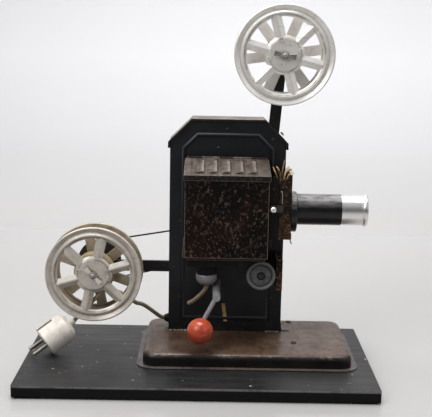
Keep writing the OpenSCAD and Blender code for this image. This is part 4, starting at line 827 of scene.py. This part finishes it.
def panel_outline(low, high, inset):
    """Six corners of the panel's outline moved inwards, as x from its middle and z."""
    half = (high.x - low.x) / 2 - inset
    cut = COLUMN_CHAMFER - inset * (2 - math.sqrt(2))
    top = high.z - inset
    foot = low.z + inset
    return [(-half, foot), (half, foot), (half, top - cut),
            (half - cut, top), (cut - half, top), (-half, top - cut)]


# Bead on the ridge: half its width and its height as shares of the ridge's, its start behind the face
BEAD_HALF_W = 0.6
BEAD_H = 1.3
BEAD_BEHIND = 0.02
BEAD_STEPS = 12


def add_ridge():
    """Rounded bead over the panel's pressed ridge, closed behind."""
    low, high = box_mm("front_panel")
    face_y = low.y + RIDGE_H
    middle = (low.x + high.x) / 2
    mesh = bmesh.new()
    rings = []
    for i in range(BEAD_STEPS + 1):
        turn = math.pi * i / BEAD_STEPS
        inset = RIDGE_INSET + RIDGE_W / 2 - BEAD_HALF_W * RIDGE_W * math.cos(turn)
        y = face_y + BEAD_BEHIND - BEAD_H * RIDGE_H * math.sin(turn)
        corners = panel_outline(low, high, inset)
        rings.append([mesh.verts.new(Vector((middle + x, y, z)) * MM) for x, z in corners])
    for i, (a, b) in enumerate(zip(rings, rings[1:] + rings[:1])):
        for k in range(len(a)):
            n = (k + 1) % len(a)
            mesh.faces.new((a[k], a[n], b[n], b[k])).smooth = i < BEAD_STEPS
    finished("ridge_bead", mesh, "column", "projector")


def add_housing_details():
    """Rivets, rolled hood ends, a pale strip, solder along the foot and the foot's side tab."""
    panel = box_mm("front_panel")[0]
    front_y = panel.y + RIDGE_H
    rivets = [(29.8, front_y, 278.8), (20, front_y, 256.2)]
    heads("panel_rivets", rivets, (0, -1, 0), 1.6, 0.8, "column")
    low, high = box_mm("hood")
    for name, x in (("left", low.x + 1.2), ("right", high.x - 1.2)):
        ends = [(x, y, low.z + 0.4) for y in (low.y, (low.y + high.y) / 2, high.y)]
        tube("hood_roll_" + name, ends, 6, 1.5, "hood")
    screw = [(94.6, low.y + 8, 273.6)]
    heads("hood_screws", screw, (0.71, 0, 0.71), 2.6, 1.8, "steel", cut=0.7)
    strip = [(29.4, front_y - 0.5, 66), (31, front_y - 0.6, 55), (32.6, front_y - 0.5, 43.5)]
    bent_sheet("panel_strip", strip, (4.4, 0, 0.4), 0.8, "fibre")
    left = [(-34 + 4.6 * i, front_y - 1.2, panel.z + 0.4) for i in range(5)]
    right = [(83 + 4.2 * i, front_y - 1.2, panel.z + 0.4) for i in range(4)]
    lumps("solder_drops", left + right, (2.6, 1.5, 1.1), "solder")
    wall = box_mm("housing_shell")[1].x
    bend = [(0.7, 9), (0.9, 2.4), (2.6, 0.6), (11, 0.5)]
    tab = [(wall + x, 61, panel.z + z) for x, z in bend]
    bent_sheet("foot_tab", tab, (0, 30, 0), 0.9, "base")


def add_lamp_details():
    """Rim under the lamp house's floor, and the bent lower corner of its left wall."""
    low, high = box_mm("lamp_house")
    left, right = low.x + 4, high.x - 3
    front = low.y + 3
    z = low.z - 1.4
    corners = [(left, high.y, z), (left, front, z), (right, front, z), (right, high.y, z)]
    for name, a, b in zip(("left", "front", "right"), corners, corners[1:]):
        bent_sheet("lamp_rim_" + name, [a, b], (0, 0, 2.8), 0.9, "lamp")
    bend = [(-0.3, 21), (-0.8, 16), (-1.3, 1)]
    flare = [(low.x + x, low.y + 8, low.z + rise) for x, rise in bend]
    bent_sheet("lamp_flare", flare, (0, 16, 0), 0.8, "lamp")


# Curled strips of old film leader in the gate's mouth: depth, width and route in x and z
LEADERS = [
    (4, 12, [(91, 222), (90.4, 231), (88.4, 237), (86.2, 241)]),
    (14, 14, [(92.6, 222), (92, 231), (90.4, 236), (88, 239)]),
    (20, 10, [(94, 222), (94.4, 232), (95.4, 239), (96.6, 246)]),
    (9, 14, [(95.4, 222), (96.4, 231), (98.6, 236.6), (101.6, 240)]),
    (17, 12, [(96.8, 222), (98.4, 231), (101.4, 234.6), (105.4, 236)]),
    (6, 10, [(98.2, 222), (99.6, 230), (102.6, 233), (107, 233.6)]),
]


def add_gate_details():
    """Old film leader in the gate's mouth, and a spring wire, a hook and rivets on the door."""
    for i, (y, wide, route) in enumerate(LEADERS):
        points = [(x, y, z) for x, z in route]
        finish = "leader" if i % 2 else "fibre"
        bent_sheet("film_leader_%d" % (i + 1), points, (0, wide, 0.6), 0.3, finish)
    low, high = box_mm("gate_door")
    bend = [(93.2, -0.5, 200), (93.5, -0.6, 206), (93.3, -0.6, 212), (92, -0.3, 215)]
    wire = [(x, low.y + dy, z) for x, dy, z in bend]
    tube("door_spring", wire, 1, 0.5, "zinc", "door", sides=10)
    bend = [(-2.2, -0.2, 8), (-2, -0.7, 3), (-2.5, -0.9, -1.5), (-1, -0.9, -4.5)]
    hook = [(high.x + dx, low.y + dy, low.z + dz) for dx, dy, dz in bend]
    tube("door_hook", hook, 0.8, 0.6, "rust", "door", sides=10)
    rivets = [(98, low.y, z) for z in (168, 176, 219)]
    heads("door_rivets", rivets, (0, -1, 0), 1.5, 0.9, "steel", "door")


# Stage in metres: the floor's front, where it sweeps up, the sweep's radius, its top and its half width
FLOOR_FRONT = -3.0
BACK_Y = 1.9
BACK_R = 0.9
BACK_TOP = 3.4
STAGE_HALF_W = 4

# Shade of the backdrop: where it starts and ends, as depth and height added up, its bend and its tones
SHADE_FROM = 0.3
SHADE_TO = 2.8
SHADE_BEND = 1.3
SHADE_LOW = tone(179, 177, 175)
SHADE_HIGH = tone(250, 250, 252)


def add_stage():
    """Pale floor that sweeps up into a backdrop; the floor sheds little light on the object."""
    p = Paint("backdrop")
    reach = p.mask(p.math("ADD", p.along("Y"), p.along("Z")), SHADE_FROM, SHADE_TO)
    shade = p.mix(p.math("POWER", reach, SHADE_BEND), SHADE_LOW, SHADE_HIGH)
    shade = p.mix(p.times(p.noise(3, 2), 0.06), shade, tone(190, 190, 190))
    floor = p.mask(p.along("Y"), 0.9, 0.7)
    ray = p.node("ShaderNodeLightPath").outputs
    seen = p.either(p.either(ray["Is Camera Ray"], ray["Is Glossy Ray"]), ray["Is Transmission Ray"])
    unseen = p.math("SUBTRACT", 1.0, seen)
    p.set(Base_Color=p.mix(p.times(floor, unseen), shade, tone(84, 83, 82)))
    p.set(Roughness=p.mask(floor, 0, 1, 0.9, 0.2))
    mesh = bmesh.new()
    curve = [math.radians(a) for a in range(10, 91, 10)]
    sweep = [(BACK_Y + BACK_R * math.sin(a), BACK_R - BACK_R * math.cos(a)) for a in curve]
    profile = [(FLOOR_FRONT, 0.0), (BACK_Y, 0.0)] + sweep + [(BACK_Y + BACK_R, BACK_TOP)]
    rows = [[mesh.verts.new((x, y, z)) for x in (-STAGE_HALF_W, STAGE_HALF_W)] for y, z in profile]
    for low, high in zip(rows, rows[1:]):
        mesh.faces.new((low[0], low[1], high[1], high[0])).smooth = True
    add_object("backdrop", mesh, p.material)


# White tent: the way to its bright side, the stretch over which it brightens, its tones and its strength
SKY_LEAN = (-0.1, 0.5, 1.0)
SKY_FROM = -0.2
SKY_TO = 0.9
SKY_DARK = tone(120, 121, 124)
SKY_BRIGHT = tone(250, 250, 252)
SKY_STRENGTH = 0.55


def add_world():
    """White tent, bright above and dark on the camera's side."""
    world = bpy.data.worlds.new("studio")
    world.use_nodes = True
    tree = world.node_tree
    sky = tree.nodes["Background"]
    lean = tree.nodes.new("ShaderNodeVectorMath")
    lean.operation = "DOT_PRODUCT"
    lean.inputs[1].default_value = SKY_LEAN
    tree.links.new(tree.nodes.new("ShaderNodeTexCoord").outputs["Generated"], lean.inputs[0])
    share = tree.nodes.new("ShaderNodeMapRange")
    share.inputs["From Min"].default_value = SKY_FROM
    share.inputs["From Max"].default_value = SKY_TO
    tree.links.new(lean.outputs["Value"], share.inputs["Value"])
    ramp = tree.nodes.new("ShaderNodeMix")
    ramp.data_type = "RGBA"
    ramp.inputs[6].default_value = SKY_DARK
    ramp.inputs[7].default_value = SKY_BRIGHT
    tree.links.new(share.outputs["Result"], ramp.inputs["Factor"])
    tree.links.new(ramp.outputs[2], sky.inputs["Color"])
    sky.inputs["Strength"].default_value = SKY_STRENGTH
    bpy.context.scene.world = world
    bpy.context.scene.view_settings.view_transform = "Standard"


# Soft boxes: place, aim, size in metres and power
LIGHTS = {
    "top": ((-0.1, 0.0, 1.7), (0, 0.05, 0.1), 0.9, 22),
    "key": ((-1.0, -1.0, 1.3), (0, 0, 0.15), 1.0, 13),
    "fill": ((1.3, -1.1, 1.0), (0, 0, 0.2), 1.2, 4),
    "back": ((0.3, 1.3, 2.2), (0.3, 2.2, 0.3), 1.6, 28),
}


def add_lights():
    """Soft boxes, each turned to its aim."""
    for name, (at, aim, size, power) in LIGHTS.items():
        data = bpy.data.lights.new(name, "AREA")
        data.size = size
        data.energy = power
        lamp = bpy.data.objects.new(name, data)
        lamp.location = at
        lamp.rotation_euler = (Vector(aim) - Vector(at)).to_track_quat("-Z", "Y").to_euler()
        bpy.context.collection.objects.link(lamp)


# The scene in order, the finishes before the pieces that have them
add_camera()
FINISHES = make_finishes()
add_leads()
paint_nodes()
add_ridge()
add_housing_details()
add_lamp_details()
add_gate_details()
add_stage()
add_world()
add_lights()
